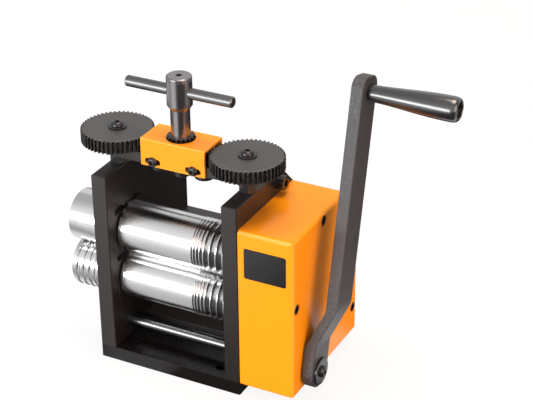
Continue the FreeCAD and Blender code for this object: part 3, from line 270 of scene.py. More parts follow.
def powder_coat(name, colour):
    """Glossy paint with a trace of orange peel, paler where its edges are rubbed."""
    finish = Finish(name, Coat_Weight=0.4, Coat_Roughness=0.10, Specular_IOR_Level=0.1)
    red, green, blue = colour
    peel = finish.cloud(1.6 * MM, detail=1.0)
    drift = finish.cloud(60 * MM, detail=2.0)
    base = finish.blend(drift, opaque((red, green * 0.97, blue)), opaque((red, green * 1.04, blue)))
    # Painted highlight: the marked edges are blended towards a pale yellow.
    tint = finish.blend(finish.mark("edge") * 0.6, base, opaque((1.0, green * 2.0, 0.25)))
    return finish.done(tint, 0.36 + 0.08 * (drift - 0.5), peel, 0.02 * MM)


RING_STRETCH = {"X": (1, 400, 400), "Z": (400, 400, 1)}
STREAK_STRETCH = {"X": (60, 1, 1), "Z": (1, 1, 60)}


def turned_metal(name, colour, roughness, ring, depth, around="X"):
    """Machined metal: fine rings of this depth left round the axis, and faint streaks along it."""
    finish = Finish(name, Metallic=1.0)
    rings = finish.cloud(ring, RING_STRETCH[around], detail=3.0, roughness=0.7)
    streaks = finish.cloud(1.1 * MM, STREAK_STRETCH[around], detail=4.0, roughness=0.6)
    cloudy = finish.cloud(22 * MM, detail=3.0)
    tone = 0.5 * rings + 0.5 * streaks
    shine = roughness + 0.16 * (tone - 0.5) + 0.08 * (cloudy - 0.5)
    return finish.done(finish.shade(tone, colour, 0.86, 1.1), shine, rings, depth)


def blackened_metal(name, colour):
    """Black oxide on small steel pieces: glossy, with paler rubbed edges and a little dust."""
    finish = Finish(name, Metallic=0.2, Specular_IOR_Level=0.8)
    grain = 0.3 * MM
    fine = finish.cloud(grain, detail=3.0)
    dust = finish.cloud(9 * MM, detail=4.0, roughness=0.65)
    base = finish.shade(dust, colour, 0.8, 1.25)
    # Edges painted paler: partly wear, partly a painted highlight.
    tint = finish.blend(finish.mark("edge") * 0.55, base, opaque(colour, 5.0))
    return finish.done(tint, 0.22 + 0.14 * (dust - 0.5) + 0.08 * (fine - 0.5), fine, grain * 0.05)


def gear_with_painted_shade(name, colour):
    """Black oxide gear: satin on its faces, almost black with oil between the teeth, bright at their tips."""
    finish = Finish(name, Specular_IOR_Level=0.3)
    fine = finish.cloud(0.5 * MM, detail=3.0)
    dust = finish.cloud(9 * MM, detail=4.0, roughness=0.65)
    # Painted shade: the upright faces, tooth flanks and rim, are made almost black and less metallic.
    flank_shade = finish.mark("flank")
    wear_and_glint_patches = finish.between(finish.cloud(4 * MM, detail=3.0), 0.35, 0.6)
    # Painted glint, partly wear: the top edges of the teeth are painted bright and more metallic, in patches.
    wear_and_highlight = finish.mark("edge") * (1 - flank_shade * 0.7) * wear_and_glint_patches
    base = finish.blend(flank_shade, finish.shade(dust, colour, 0.85, 1.2), opaque(colour, 0.08))
    finish.set("Metallic", 0.6 * (1 - flank_shade) + 0.3 * wear_and_highlight)
    tint = finish.blend(wear_and_highlight, base, opaque(colour, 3.0))
    return finish.done(tint, 0.34 + 0.12 * (dust - 0.5) + 0.08 * (fine - 0.5), fine, 0.025 * MM)


def textured_bar(name, colour):
    """The crank's coating: a fine hammered texture with glinting specks."""
    finish = Finish(name, Specular_IOR_Level=0.6, Metallic=0.35)
    grit = finish.cloud(1.3 * MM, detail=4.0, roughness=0.7)
    tone = finish.cloud(18 * MM, stretch=(1, 1, 3), detail=3.0)
    speck = finish.between(grit, 0.52, 0.70)
    tint = finish.blend(speck * 0.7, finish.shade(tone, colour, 0.85, 1.15), opaque(colour, 3.2))
    return finish.done(tint, 0.40 + 0.4 * (grit - 0.5), grit, 0.5 * MM)


def moulded_grip(name, colour):
    """Smooth black plastic: a broad sheen under a narrow bright one."""
    finish = Finish(name, Specular_IOR_Level=1.0, Coat_Weight=1.0, Coat_Roughness=0.10)
    drift = finish.cloud(12 * MM, stretch=(3, 1, 1), detail=3.0)
    fine = finish.cloud(0.4 * MM, detail=2.0)
    tint = finish.shade(drift, colour, 0.85, 1.2)
    return finish.done(tint, 0.26 + 0.08 * (drift - 0.5), fine, 0.015 * MM)


FINISHES = {}


def make_finishes():
    """One material for each of the mill's material slots, and one each for the base and the cross bar."""
    colours = bpy.context.scene.mill_colours
    frame_black, steel = colours.frame_black, colours.steel
    fine_rings = 0.006 * MM
    FINISHES.update({
        "black_frame": coated_steel("black_frame", frame_black, 0.40, 7.0),
        # Painted shade: the base plate gets the frame's coating darkened to 0.4, for the shade between the plates.
        "base_in_painted_shade": coated_steel("base_in_painted_shade", opaque(frame_black, 0.4), 0.28, 12.0),
        "orange_paint": powder_coat("orange_paint", colours.paint),
        "roller_steel": turned_metal("roller_steel", steel, 0.165, 0.35 * MM, 0.08 * MM),
        "shaft_steel": turned_metal("shaft_steel", (0.165, 0.165, 0.17), 0.22, 0.3 * MM, 0.002 * MM),
        "bronze": turned_metal("bronze", (0.55, 0.36, 0.15), 0.35, 0.4 * MM, fine_rings),
        "gear_steel": turned_metal("gear_steel", (0.33, 0.33, 0.34), 0.38, 0.5 * MM, fine_rings),
        "black_gear": gear_with_painted_shade("black_gear", colours.gear_black),
        "black_screws": blackened_metal("black_screws", (0.016, 0.016, 0.017)),
        "handle_steel": turned_metal("handle_steel", (0.335, 0.322, 0.328), 0.27, 0.4 * MM, 0.008 * MM, "Z"),
        "bar_steel": turned_metal("bar_steel", (0.19, 0.19, 0.192), 0.36, 0.5 * MM, fine_rings),
        "crank_iron": textured_bar("crank_iron", (0.060, 0.061, 0.066)),
        "grip_black": moulded_grip("grip_black", (0.010, 0.0105, 0.0125)),
    })


# Mesh helpers

FLAT = math.radians(0.5)


def copy_of(node):
    """A CAD node's mesh with its loose triangles joined up and its flat faces made whole."""
    bm = bmesh.new()
    bm.from_mesh(frame["nodes"][node].data)
    bmesh.ops.remove_doubles(bm, verts=bm.verts, dist=0.002 * MM)
    bmesh.ops.dissolve_limit(bm, angle_limit=FLAT, verts=bm.verts, edges=bm.edges)
    return bm


def solids_of(node):
    """The lowest and highest corner of each solid in a CAD node."""
    bm = copy_of(node)
    waiting = set(bm.verts)
    boxes = []
    while waiting:
        found = [waiting.pop()]
        for vert in found:
            near = {edge.other_vert(vert) for edge in vert.link_edges} & waiting
            waiting -= near
            found.extend(near)
        low = Vector(min(v.co[i] for v in found) for i in range(3))
        high = Vector(max(v.co[i] for v in found) for i in range(3))
        boxes.append((low, high))
    bm.free()
    return sorted(boxes, key=lambda box: tuple(round(part, 5) for part in box[0]))


def middle(box):
    """The centre of a box, given as its lowest and highest corner."""
    return (box[0] + box[1]) / 2


def span(box, axis):
    """How long a box is along one axis."""
    return box[1][axis] - box[0][axis]


def foot_of(box):
    """The middle of a box's underside."""
    return on_upright(middle(box), box[0].z)


def outer_end(box, axis, centre=0.0):
    """On which side of the centre a box lies along an axis, as 1 or -1, and where it ends on that side."""
    if middle(box)[axis] > centre:
        return 1, box[1][axis]
    return -1, box[0][axis]


def mesh_of(name, bm):
    """The mesh that a bmesh has made; the bmesh is used up."""
    mesh = bpy.data.meshes.new(name)
    bm.to_mesh(mesh)
    bm.free()
    return mesh


def in_scene(name, data):
    """A new object of the scene with this mesh, lamp or camera."""
    made = bpy.data.objects.new(name, data)
    bpy.context.scene.collection.objects.link(made)
    return made


def bevel(bm, edges, width, segments, clamp=False):
    """Rounds these edges and returns the new faces."""
    made = bmesh.ops.bevel(bm, geom=edges, offset=width, offset_type="OFFSET", segments=segments, profile=0.5,
                           affect="EDGES", material=-1, clamp_overlap=clamp)
    return made["faces"]


def mark_layer(bm, name):
    """The layer in which a mesh keeps this mark for its finish."""
    return bm.loops.layers.float.get(name) or bm.loops.layers.float.new(name)


def soften(bm, width, segments=2, angle=35):
    """Rounds the sharp edges and marks the new faces, so that a finish can wear them."""
    mark = mark_layer(bm, "edge")
    limit = math.radians(angle)
    sharp = [e for e in bm.edges if len(e.link_faces) == 2 and e.calc_face_angle(0) > limit]
    for face in bevel(bm, sharp, width, segments, clamp=True):
        for loop in face.loops:
            loop[mark] = 1.0


def mark_faces(bm, name, wanted, amount=1.0):
    """Marks the faces whose normals are wanted, for the finish to treat in its own way."""
    mark = mark_layer(bm, name)
    for face in bm.faces:
        if wanted(face.normal):
            for loop in face.loops:
                loop[mark] = amount


# How strongly each rounded edge, by its direction, takes the painted highlight.
HIGHLIT_CORNERS = (((0, -1, 1), 1.0), ((1, -1, 0), 0.4), ((1, 0, 1), 0.2))
NEAR_CORNER = 0.985


def mark_corner_highlights(bm):
    """Marks the middle of the rounded edges: the front's top edge most, the outer side's edges a little."""
    for corner, amount in HIGHLIT_CORNERS:
        way = Vector(corner).normalized()
        mark_faces(bm, "edge", lambda normal, way=way: normal.dot(way) > NEAR_CORNER, amount)


def add_piece(node, bm, smooth=34, finish=None, name=None, slot=None):
    """Puts a mesh in the scene with its node's body and finish, in place of the node or, named, beside it."""
    bmesh.ops.recalc_face_normals(bm, faces=bm.faces)
    limit = math.radians(smooth)
    for face in bm.faces:
        face.smooth = True
    for edge in bm.edges:
        edge.smooth = len(edge.link_faces) == 2 and edge.calc_face_angle(0) < limit
    title = name or node + "_finished"
    piece = in_scene(title, mesh_of(title, bm))
    slot = slot or SLOT_OF[node]
    piece.data.materials.append(FINISHES[finish or slot])
    even = piece.modifiers.new("Even shading", "WEIGHTED_NORMAL")
    even.keep_sharp = True
    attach(piece, BODY_OF[node])
    if not name:
        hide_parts(node)


def standing(place, direction):
    """The move that turns +X to this direction and takes the origin to the place."""
    return Matrix.Translation(place) @ direction.to_track_quat("X", "Z").to_matrix().to_4x4()


def stand(bm, place, direction):
    """Stands a mesh that is drawn along +X on its place, rising along the direction."""
    bmesh.ops.transform(bm, matrix=standing(place, direction), verts=bm.verts)
    return bm


def turned(corners, steps, closed):
    """The surface of a line of (along, radius) corners that is turned round the X axis."""
    bm = bmesh.new()
    verts = [bm.verts.new((along, radius, 0)) for along, radius in corners]
    following = verts[1:] + verts[:1] if closed else verts[1:]
    edges = [bm.edges.new(pair) for pair in zip(verts, following)]
    bmesh.ops.spin(bm, geom=verts + edges, cent=(0, 0, 0), axis=(1, 0, 0), angle=2 * math.pi, steps=steps,
                   use_merge=True)
    return bm


def spun(profile, steps, place=ORIGIN, direction=X_AXIS):
    """A turned solid: profile runs from end to end as (along, radius), and both ends close on the axis."""
    bm = turned([(profile[0][0], 0.0)] + profile + [(profile[-1][0], 0.0)], steps, closed=False)
    bmesh.ops.remove_doubles(bm, verts=bm.verts, dist=0.0005 * MM)
    return stand(bm, place, direction)


def ring_solid(outer, inner, thickness, edge, steps, place, direction):
    """A washer with broken edges, standing on its place and rising along the direction."""
    corners = [(0, inner), (0, outer - edge), (edge, outer), (thickness - edge, outer),
               (thickness, outer - edge), (thickness, inner)]
    return stand(turned(corners, steps, closed=True), place, direction)


def cylinder(radius, start, end, place, direction, steps=64):
    """A plain round cutter or bar from start to end along the direction."""
    length = end - start
    bm = bmesh.new()
    bmesh.ops.create_cone(bm, cap_ends=True, segments=steps, radius1=radius, radius2=radius, depth=length)
    lying = Matrix.Translation(((start + end) / 2, 0, 0)) @ Matrix.Rotation(math.pi / 2, 4, "Y")
    bmesh.ops.transform(bm, matrix=standing(place, direction) @ lying, verts=bm.verts)
    return bm


def cuboid(low, high):
    """A box between two corners."""
    low, high = Vector(low), Vector(high)
    bm = bmesh.new()
    bmesh.ops.create_cube(bm, size=1)
    bmesh.ops.scale(bm, vec=high - low, verts=bm.verts)
    bmesh.ops.translate(bm, vec=(low + high) / 2, verts=bm.verts)
    return bm


def slab(outline, way):
    """A solid whose end face has these corners and which reaches from there along the way."""
    bm = bmesh.new()
    face = bm.faces.new([bm.verts.new(corner) for corner in outline])
    grown = bmesh.ops.extrude_face_region(bm, geom=[face])
    moved = [item for item in grown["geom"] if isinstance(item, bmesh.types.BMVert)]
    bmesh.ops.translate(bm, vec=way, verts=moved)
    bmesh.ops.recalc_face_normals(bm, faces=bm.faces)
    return bm


def arc(across, up, radius, first, last, steps):
    """Points round a centre, from the first angle to the last, in degrees."""
    turns = [math.radians(first + (last - first) * step / steps) for step in range(steps + 1)]
    return [(across + radius * math.cos(turn), up + radius * math.sin(turn)) for turn in turns]


def carve(bm, cutters):
    """Cuts the cutters' shapes out of a mesh."""
    for cutter in cutters:
        bmesh.ops.recalc_face_normals(bm, faces=bm.faces)
        whole = in_scene("whole", mesh_of("whole", bm))
        tool = in_scene("tool", mesh_of("tool", cutter))
        cut = whole.modifiers.new("Cut", "BOOLEAN")
        cut.object = tool
        cut.operation = "DIFFERENCE"
        cut.solver = "EXACT"
        depsgraph = bpy.context.evaluated_depsgraph_get()
        result = bpy.data.meshes.new_from_object(whole.evaluated_get(depsgraph))
        bm = bmesh.new()
        bm.from_mesh(result)
        bmesh.ops.dissolve_limit(bm, angle_limit=FLAT, verts=bm.verts, edges=bm.edges)
        for used in (whole, tool):
            mesh = used.data
            bpy.data.objects.remove(used)
            bpy.data.meshes.remove(mesh)
        bpy.data.meshes.remove(result)
    return bm


def join(meshes):
    """Several meshes in one."""
    whole = bmesh.new()
    for part in meshes:
        held = mesh_of("held", part)
        whole.from_mesh(held)
        bpy.data.meshes.remove(held)
    return whole


def socket_head(radius, height, socket, domed, seat, direction, steps=48):
    """The head of a socket screw on its seat, rising along the direction; socket is the hexagon's radius."""
    edge = radius * 0.09
    if domed:
        profile = [(0, radius), (height * 0.3, radius), (height * 0.62, radius * 0.9),
                   (height * 0.86, radius * 0.7), (height, radius * 0.52)]
    else:
        profile = [(0, radius), (height - edge, radius), (height - edge * 0.3, radius - edge * 0.3),
                   (height, radius - edge)]
    depth = height * 0.6
    hexagon = cylinder(socket, height - depth, height + 1 * MM, ORIGIN, X_AXIS, 6)
    return stand(carve(spun(profile, steps), [hexagon]), seat, direction)


def screw(radius, height, socket, shank, seat, direction, domed=True, steps=48, shank_steps=24):
    """The head of a socket screw on its seat and the shank below it, given as (radius, length)."""
    head = socket_head(radius, height, socket, domed, seat, direction, steps)
    return [head, cylinder(shank[0], -shank[1], 0, seat, direction, shank_steps)]


def build_screws(node, axis, height, socket, shank, centre=0.0, **options):
    """A node's screws with their heads outwards along an axis; socket is a share of the head's radius."""
    parts = []
    for box in solids_of(node):
        side, end = outer_end(box, axis, centre)
        seat = middle(box)
        seat[axis] = end - side * height
        radius = span(box, Z) / 2
        parts += screw(radius, height, radius * socket, shank, seat, AXES[axis] * side, **options)
    add_piece(node, join(parts))


# The mill's pieces

def build_plates():
    """The black frame: plates, blocks and bars with rounded, slightly worn edges."""
    edge = bpy.context.scene.mill_shape.plate_edge
    for node in ("base_plate", "side_plate_left", "side_plate_right", "rear_cross_plate", "lower_stiffener",
                 "lower_bearing_blocks", "upper_bearing_blocks", "bridge_bar"):
        bm = copy_of(node)
        soften(bm, edge)
        # The base plate takes the darker copy of the coating, as painted shade.
        add_piece(node, bm, finish="base_in_painted_shade" if node == "base_plate" else None)
    build_tie_rod()


def build_tie_rod():
    """The round rod behind the bridge and the cap screws in its ends."""
    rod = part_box("upper_tie_rod")
    half, radius = span(rod, X) / 2, span(rod, Z) / 2
    add_piece("upper_tie_rod", spun([(-half, radius), (half, radius)], 64, middle(rod)))
    build_screws("tie_rod_screws", X, 8 * MM, 0.55, (3.96 * MM, 20 * MM), domed=False, shank_steps=32)


# Sizes of the rollers and of the rings on their stubs, all in millimetres. A corner is a row of points,
# each given as how far it lies in from the end and down from the surface.

BARREL_HALF = 55.05
PLATE_OUTER = 71.25
SEAT_RADIUS = 10.0
JOURNAL_RADIUS = 12.0
BARREL_LEFT_CORNER = ((0, 0.7), (0.2, 0.25), (0.7, 0))
BARREL_RIGHT_CORNER = ((0.3, 0), (0, 0.4))
GROOVE_WIDTHS = (1.6, 2.1, 2.5, 2.9, 4.9, 5.7, 6.0)
GROOVE_LAND = 0.8
GROOVE_MARGIN = 5.8
LAND_EDGE = 0.08
LIP_TOP = 0.06
LIP_DROP = 0.12
LIP_WIDTH = 0.1
RING_CORNER = ((0, 0.9), (0.3, 0.3), (0.9, 0))
RING_GROOVES = (4.6, 4.0, 3.4, 2.8, 2.2)
RING_GROOVE_LAND = 2.4
RING_GROOVE_STEPS = 12


def grooves_length(widths, land):
    """How long a row of grooves is with the lands between them."""
    return sum(widths) + land * (len(widths) - 1)


def roller_profile(radius, left_end, right_end):
    """From the left stub over the barrel with its zigzag of wire grooves to the gear seat, in mm."""
    profile = [(left_end, SEAT_RADIUS), (-PLATE_OUTER, SEAT_RADIUS), (-PLATE_OUTER, JOURNAL_RADIUS),
               (-BARREL_HALF, JOURNAL_RADIUS)]
    profile += [(-BARREL_HALF + inwards, radius - down) for inwards, down in BARREL_LEFT_CORNER]
    at = BARREL_HALF - GROOVE_MARGIN - grooves_length(GROOVE_WIDTHS, GROOVE_LAND)
    for width in GROOVE_WIDTHS:
        end = at + width
        profile += [(at, radius - LIP_TOP), (at + LIP_WIDTH, radius - LIP_DROP),
                    (at + width / 2, radius - width / 2), (end - LIP_WIDTH, radius - LIP_DROP),
                    (end, radius - LIP_TOP), (end + LAND_EDGE, radius),
                    (end + GROOVE_LAND - LAND_EDGE, radius)]
        at += width + GROOVE_LAND
    profile.pop()
    profile += [(BARREL_HALF - inwards, radius - down) for inwards, down in BARREL_RIGHT_CORNER]
    return profile + [(BARREL_HALF, JOURNAL_RADIUS), (PLATE_OUTER, JOURNAL_RADIUS),
                      (PLATE_OUTER, SEAT_RADIUS), (right_end, SEAT_RADIUS)]


def ring_profile(radius, start, end, grooved):
    """The section of a ring with chamfered ends, plain or with half round grooves, in mm."""
    profile = [(start, SEAT_RADIUS)]
    profile += [(start + inwards, radius - down) for inwards, down in RING_CORNER]
    if grooved:
        at = (start + end - grooves_length(RING_GROOVES, RING_GROOVE_LAND)) / 2
        for width in RING_GROOVES:
            for step in range(RING_GROOVE_STEPS + 1):
                turn = math.pi * step / RING_GROOVE_STEPS
                profile.append((at + width / 2 * (1 - math.cos(turn)), radius - width / 2 * math.sin(turn)))
            at += width + RING_GROOVE_LAND
    profile += [(end - inwards, radius - down) for inwards, down in reversed(RING_CORNER)]
    return profile + [(end, SEAT_RADIUS)]


def in_metres(profile):
    """A profile that is given in millimetres, in the scene's unit."""
    return [(along * MM, radius * MM) for along, radius in profile]


def build_rollers():
    """Both rollers with their wire grooves, and the rings on the left stubs."""
    steps = bpy.context.scene.mill_shape.turning_steps
    for place, ring in (("upper", "plain_ring"), ("lower", "grooved_ring")):
        node = place + "_roller"
        axis = hinge_place(node + "_spin")
        centre = on_shaft(axis, 0)
        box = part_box(node)
        radius = span(box, Z) / 2 / MM
        profile = in_metres(roller_profile(radius, box[0].x / MM, box[1].x / MM))
        add_piece(node, spun(profile, steps, centre), smooth=22)
        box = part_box(ring)
        profile = in_metres(ring_profile(radius, box[0].x / MM, box[1].x / MM, ring == "grooved_ring"))
        bm = turned(profile, steps, closed=True)
        bmesh.ops.translate(bm, vec=centre, verts=bm.verts)
        add_piece(ring, bm, smooth=28)
        build_stub_fasteners(node, axis)


def build_stub_fasteners(roller, axis):
    """Washer and domed screw on each end of a roller."""
    bore, edge = 4.1 * MM, 0.4 * MM
    node = roller + "_washers"
    washers = []
    for box in solids_of(node):
        start = on_shaft(axis, box[0].x)
        washers.append(ring_solid(span(box, Z) / 2, bore, span(box, X), edge, 64, start, X_AXIS))
    add_piece(node, join(washers))
    build_screws(roller + "_screws", X, 4.4 * MM, 0.4, (4 * MM, 18 * MM))


HANDLE_SHANK = 7 * MM


def build_adjuster():
    """The screw-down train on top: gears, bushes, spindles, pins and the handle's collar."""
    edge = bpy.context.scene.mill_shape.fine_edge
    for node in ("spindle_gear_left", "spindle_gear_right", "idler_gear_left", "idler_gear_right",
                 "handle_pinion", "spindle_bushes"):
        bm = copy_of(node)
        soften(bm, edge, segments=1, angle=38)
        # Marks the upright faces, which the gear finish paints dark as painted shade.
        mark_faces(bm, "flank", lambda normal: abs(normal.z) < 0.3)
        add_piece(node, bm, smooth=30)
    for side in ("left", "right"):
        build_spindle("spindle_" + side)
    build_idler_pins()
    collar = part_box("handle_collar")
    bm = ring_solid(span(collar, X) / 2, HANDLE_SHANK, span(collar, Z), 0.6 * MM, 64, foot_of(collar), Z_AXIS)
    add_piece("handle_collar", bm)


def build_spindle(node):
    """Spindle with its washer and domed screw, as fine turned pieces."""
    boxes = solids_of(node)
    body = max(boxes, key=lambda box: span(box, Z))
    washer = max(boxes, key=lambda box: span(box, X))
    top = max(boxes, key=lambda box: box[1].z)
    centre = middle(body)
    rest, seat = on_upright(centre, washer[0].z), on_upright(centre, washer[1].z)
    radius = span(top, X) / 2
    bore, edge = 3.1 * MM, 0.35 * MM
    parts = [spun(threaded(span(body, X) / 2, span(body, Z)), 48, foot_of(body), Z_AXIS),
             ring_solid(span(washer, X) / 2, bore, span(washer, Z), edge, 64, rest, Z_AXIS)]
    parts += screw(radius, top[1].z - washer[1].z, radius * 0.42, (3 * MM, 6 * MM), seat, Z_AXIS)
    add_piece(node, join(parts), smooth=40)


def threaded(radius, height):
    """A turned bar with a plain foot, the fine ridges of a thread above it and a plain top."""
    pitch = 1.5 * MM
    depth = 0.35 * MM
    foot, foot_height = radius - 0.2 * MM, 4.5 * MM
    first, unridged = 5 * MM, 19 * MM
    profile = [(0, foot - 1 * MM), (1 * MM, foot), (foot_height, foot)]
    for turn in range(int((height - unridged) / pitch)):
        at = first + turn * pitch
        profile += [(at, radius), (at + pitch / 2, radius - depth)]
    end, top = height - 13 * MM, radius - 0.5 * MM
    return profile + [(end, radius), (end, top), (height, top)]


def build_idler_pins():
    """The pins of the idlers, each with a round head under the bridge."""
    head, pin, chamfer, edge = 8 * MM, 4 * MM, 1 * MM, 0.3 * MM
    pins = []
    for box in solids_of("idler_pins"):
        radius = span(box, X) / 2
        profile = [(0, radius - chamfer), (edge, radius - edge), (chamfer, radius), (head - edge, radius),
                   (head, radius - edge), (head, pin), (span(box, Z), pin)]
        pins.append(spun(profile, 64, foot_of(box), Z_AXIS))
    add_piece("idler_pins", join(pins))


def build_hood():
    """The folded sheet over the small gears, with its round hole, slots and screws."""
    fine_edge = bpy.context.scene.mill_shape.fine_edge
    sheet, fold, beyond = 2.5 * MM, 1.0 * MM, 1 * MM
    slot_length, slot_height, slot_depth = 15.4 * MM, 5.6 * MM, 40 * MM
    low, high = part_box("gear_hood")
    centre = middle((low, high))
    bm = cuboid(low, high)
    folds = [e for e in bm.edges if all(v.co.z > high.z - sheet for v in e.verts)
             and abs(e.verts[0].co.x - e.verts[1].co.x) > sheet]
    bevel(bm, folds, fold, 5)
    inner = cuboid((low.x - beyond, low.y + sheet, low.z - beyond),
                   (high.x + beyond, high.y - sheet, high.z - sheet))
    hole = cylinder(12.75 * MM, -5 * MM, 5 * MM, Vector((0, centre.y, high.z)), Z_AXIS, 96)
    screws = solids_of("gear_hood_screws")
    slots = [obround(slot_length, slot_height, slot_depth, Vector((x, centre.y, middle(screws[0]).z)))
             for x in sorted({round(middle(box).x, 5) for box in screws})]
    bm = carve(bm, [inner, hole] + slots)
    soften(bm, fine_edge * 1.3, segments=2, angle=50)
    # Painted highlight along the middle of the fold.
    mark_corner_highlights(bm)
    add_piece("gear_hood", bm, smooth=30)
    build_screws("gear_hood_screws", Y, 2.75 * MM, 0.45, (2.5 * MM, 6 * MM), centre.y, steps=40)


def obround(length, height, depth, place):
    """A slot's shape, long in X, through its place along Y."""
    half, radius = (length - height) / 2, height / 2
    outline = arc(half, 0, radius, -90, 90, 16) + arc(-half, 0, radius, 90, 270, 16)
    bm = slab([(across, 0, up) for across, up in outline], (0, depth, 0))
    bmesh.ops.translate(bm, vec=place - Vector((0, depth / 2, 0)), verts=bm.verts)
    return bm


def build_t_handle():
    """Hub and shaft of the screw-down handle, and its cross bar."""
    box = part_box("handle_spindle")
    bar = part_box("handle_bar")
    axis = hinge_place("handle_turn")
    bar_radius, clearance = span(bar, Z) / 2, 0.12 * MM
    profile = handle_profile(span(box, X) / 2, box[0].z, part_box("handle_pinion")[1].z, box[1].z)
    bm = spun(profile, 96, on_upright(axis, 0), Z_AXIS)
    hole = cylinder(2.6 * MM, -6 * MM, 1 * MM, on_upright(axis, box[1].z), Z_AXIS, 32)
    seat = cylinder(bar_radius + clearance, -20 * MM, 20 * MM, middle(bar), X_AXIS, 48)
    bm = carve(bm, [hole, seat])
    soften(bm, 0.35 * MM, segments=2, angle=40)
    add_piece("handle_spindle", bm, smooth=30)
    half, edge = span(bar, X) / 2, 1.1 * MM
    tip = ((0, edge), (0.25 * edge, 0.65 * edge), (edge, 0))
    profile = [(-half + inwards, bar_radius - down) for inwards, down in tip]
    profile += [(half - inwards, bar_radius - down) for inwards, down in reversed(tip)]
    add_piece("handle_bar", spun(profile, 72, middle(bar)), finish="bar_steel")


def handle_profile(hub, foot, shoulder, top):
    """From the shank in the pinion over the shaft to the hub with its two fine turned lines."""
    shaft = 8.5 * MM
    neck = top - 26.6 * MM
    line_width, line_depth = 0.45 * MM, 0.25 * MM
    profile = [(foot, HANDLE_SHANK), (shoulder, HANDLE_SHANK), (shoulder, shaft), (neck - 4 * MM, shaft),
               (neck - 3.4 * MM, shaft + 0.2 * MM), (neck, hub - 0.1 * MM), (neck + 0.3 * MM, hub)]
    for line in (top - 3.6 * MM, top - 2.5 * MM):
        profile += [(line, hub), (line + line_width / 3, hub - line_depth), (line + line_width, hub)]
    return profile + [(top - 1.3 * MM, hub), (top - 0.9 * MM, hub - 0.1 * MM), (top, hub - 1.1 * MM)]


COVER_CHAMFER = 26 * MM
COVER_WALL = 1.5 * MM
COVER_CUP = 5 * MM


def cover_form(low, high, inset, edge):
    """The cover's outer form, or with an inset the space inside it, open towards the plate."""
    overrun = 1 * MM
    chamfer = COVER_CHAMFER - inset * (2 - math.sqrt(2))
    front, back, floor, top = low.y + inset, high.y - inset, low.z + inset, high.z - inset
    outline = [(front, floor), (back, floor), (back, top - chamfer), (back - chamfer, top), (front, top)]
    start, end = low.x - (overrun if inset else 0), high.x - inset
    bm = slab([(start, across, up) for across, up in outline], (end - start, 0, 0))
    rounds = [e for e in bm.edges if any(v.co.x > end - 1 * MM for v in e.verts)]
    bevel(bm, rounds, edge - inset, 7)
    return bm


def build_cover():
    """The painted gear cover, a shell with a cup for each sunk screw, and its bare plate."""
    edge = bpy.context.scene.mill_shape.cover_edge
    low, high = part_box("gear_cover")
    screws = solids_of("cover_screws")
    radius = max(span(box, Z) / 2 for box in screws)
    recess = radius + 0.9 * MM
    places = [on_shaft(middle(box), high.x) for box in screws]
    cups = [cylinder(recess + COVER_WALL, -COVER_CUP - COVER_WALL, COVER_CUP, place, X_AXIS)
            for place in places]
    space = carve(cover_form(low, high, COVER_WALL, edge), cups)
    drive = hinge_place("crank_turn")
    hole = cylinder(8.6 * MM, -5 * MM, 5 * MM, on_shaft(drive, high.x), X_AXIS)
    recesses = [cylinder(recess, -COVER_CUP, COVER_CUP, place, X_AXIS) for place in places]
    bm = carve(cover_form(low, high, 0, edge), [space, hole] + recesses)
    soften(bm, 0.4 * MM, segments=2, angle=50)
    # Painted highlight along the middle of the rounded edges.
    mark_corner_highlights(bm)
    add_piece("gear_cover", bm, smooth=30)
    heads = [socket_head(radius, 4.8 * MM, radius * 0.55, False, place - X_AXIS * COVER_CUP, X_AXIS)
             for place in places]
    add_piece("cover_screws", join(heads))
    build_bare_plate(low.y)


def build_bare_plate(face):
    """The bare charcoal plate on the cover's front face."""
    left, right, bottom, top = 77.0 * MM, 116.6 * MM, 121.0 * MM, 150.0 * MM
    proud, sunk = 0.35 * MM, 0.1 * MM
    bm = cuboid((left, face - proud, bottom), (right, face + sunk, top))
    bevel(bm, [e for e in bm.edges if abs(e.verts[0].co.y - e.verts[1].co.y) > sunk], 1.8 * MM, 6)
    soften(bm, 0.1 * MM, segments=1, angle=60)
    add_piece("gear_cover", bm, name="bare_plate", slot="black_screws")


def build_crank():
    """The bent crank arm, its washer and screw, and the turning grip."""
    axis, grip = hinge_place("crank_turn"), hinge_place("grip_spin")
    reach = on_shaft(grip, 0) - on_shaft(axis, 0)
    width, thickness, offset = 30 * MM, 11 * MM, 15.9 * MM
    cuts, lowest_cut, spacing = 38, 14 * MM, 1.5 * MM
    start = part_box("crank_arm")[0].x
    bm = flat_bar(reach.length, width, thickness)
    for cut in range(cuts):
        height = lowest_cut + spacing * cut
        bmesh.ops.bisect_plane(bm, geom=bm.verts[:] + bm.edges[:] + bm.faces[:], plane_co=(0, 0, height),
                               plane_no=Z_AXIS)
    for vert in bm.verts:
        vert.co.x += dog_leg(vert.co.z, vert.co.x, thickness, offset)
    lean = Matrix.Rotation(-math.atan2(reach.y, reach.z), 4, "X")
    bmesh.ops.transform(bm, matrix=Matrix.Translation(on_shaft(axis, start)) @ lean, verts=bm.verts)
    add_piece("crank_arm", bm, smooth=40)
    washer = 2 * MM
    rest = on_shaft(axis, start + thickness)
    bm = ring_solid(span(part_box("crank_washer"), Z) / 2, 3.1 * MM, washer, 0.4 * MM, 72, rest, X_AXIS)
    add_piece("crank_washer", bm)
    seat = on_shaft(axis, start + thickness + washer)
    radius, height, socket, shank = 5.4 * MM, 3.3 * MM, 2.3 * MM, (3 * MM, 18 * MM)
    add_piece("crank_screw", join(screw(radius, height, socket, shank, seat, X_AXIS)))
    build_grip(grip)


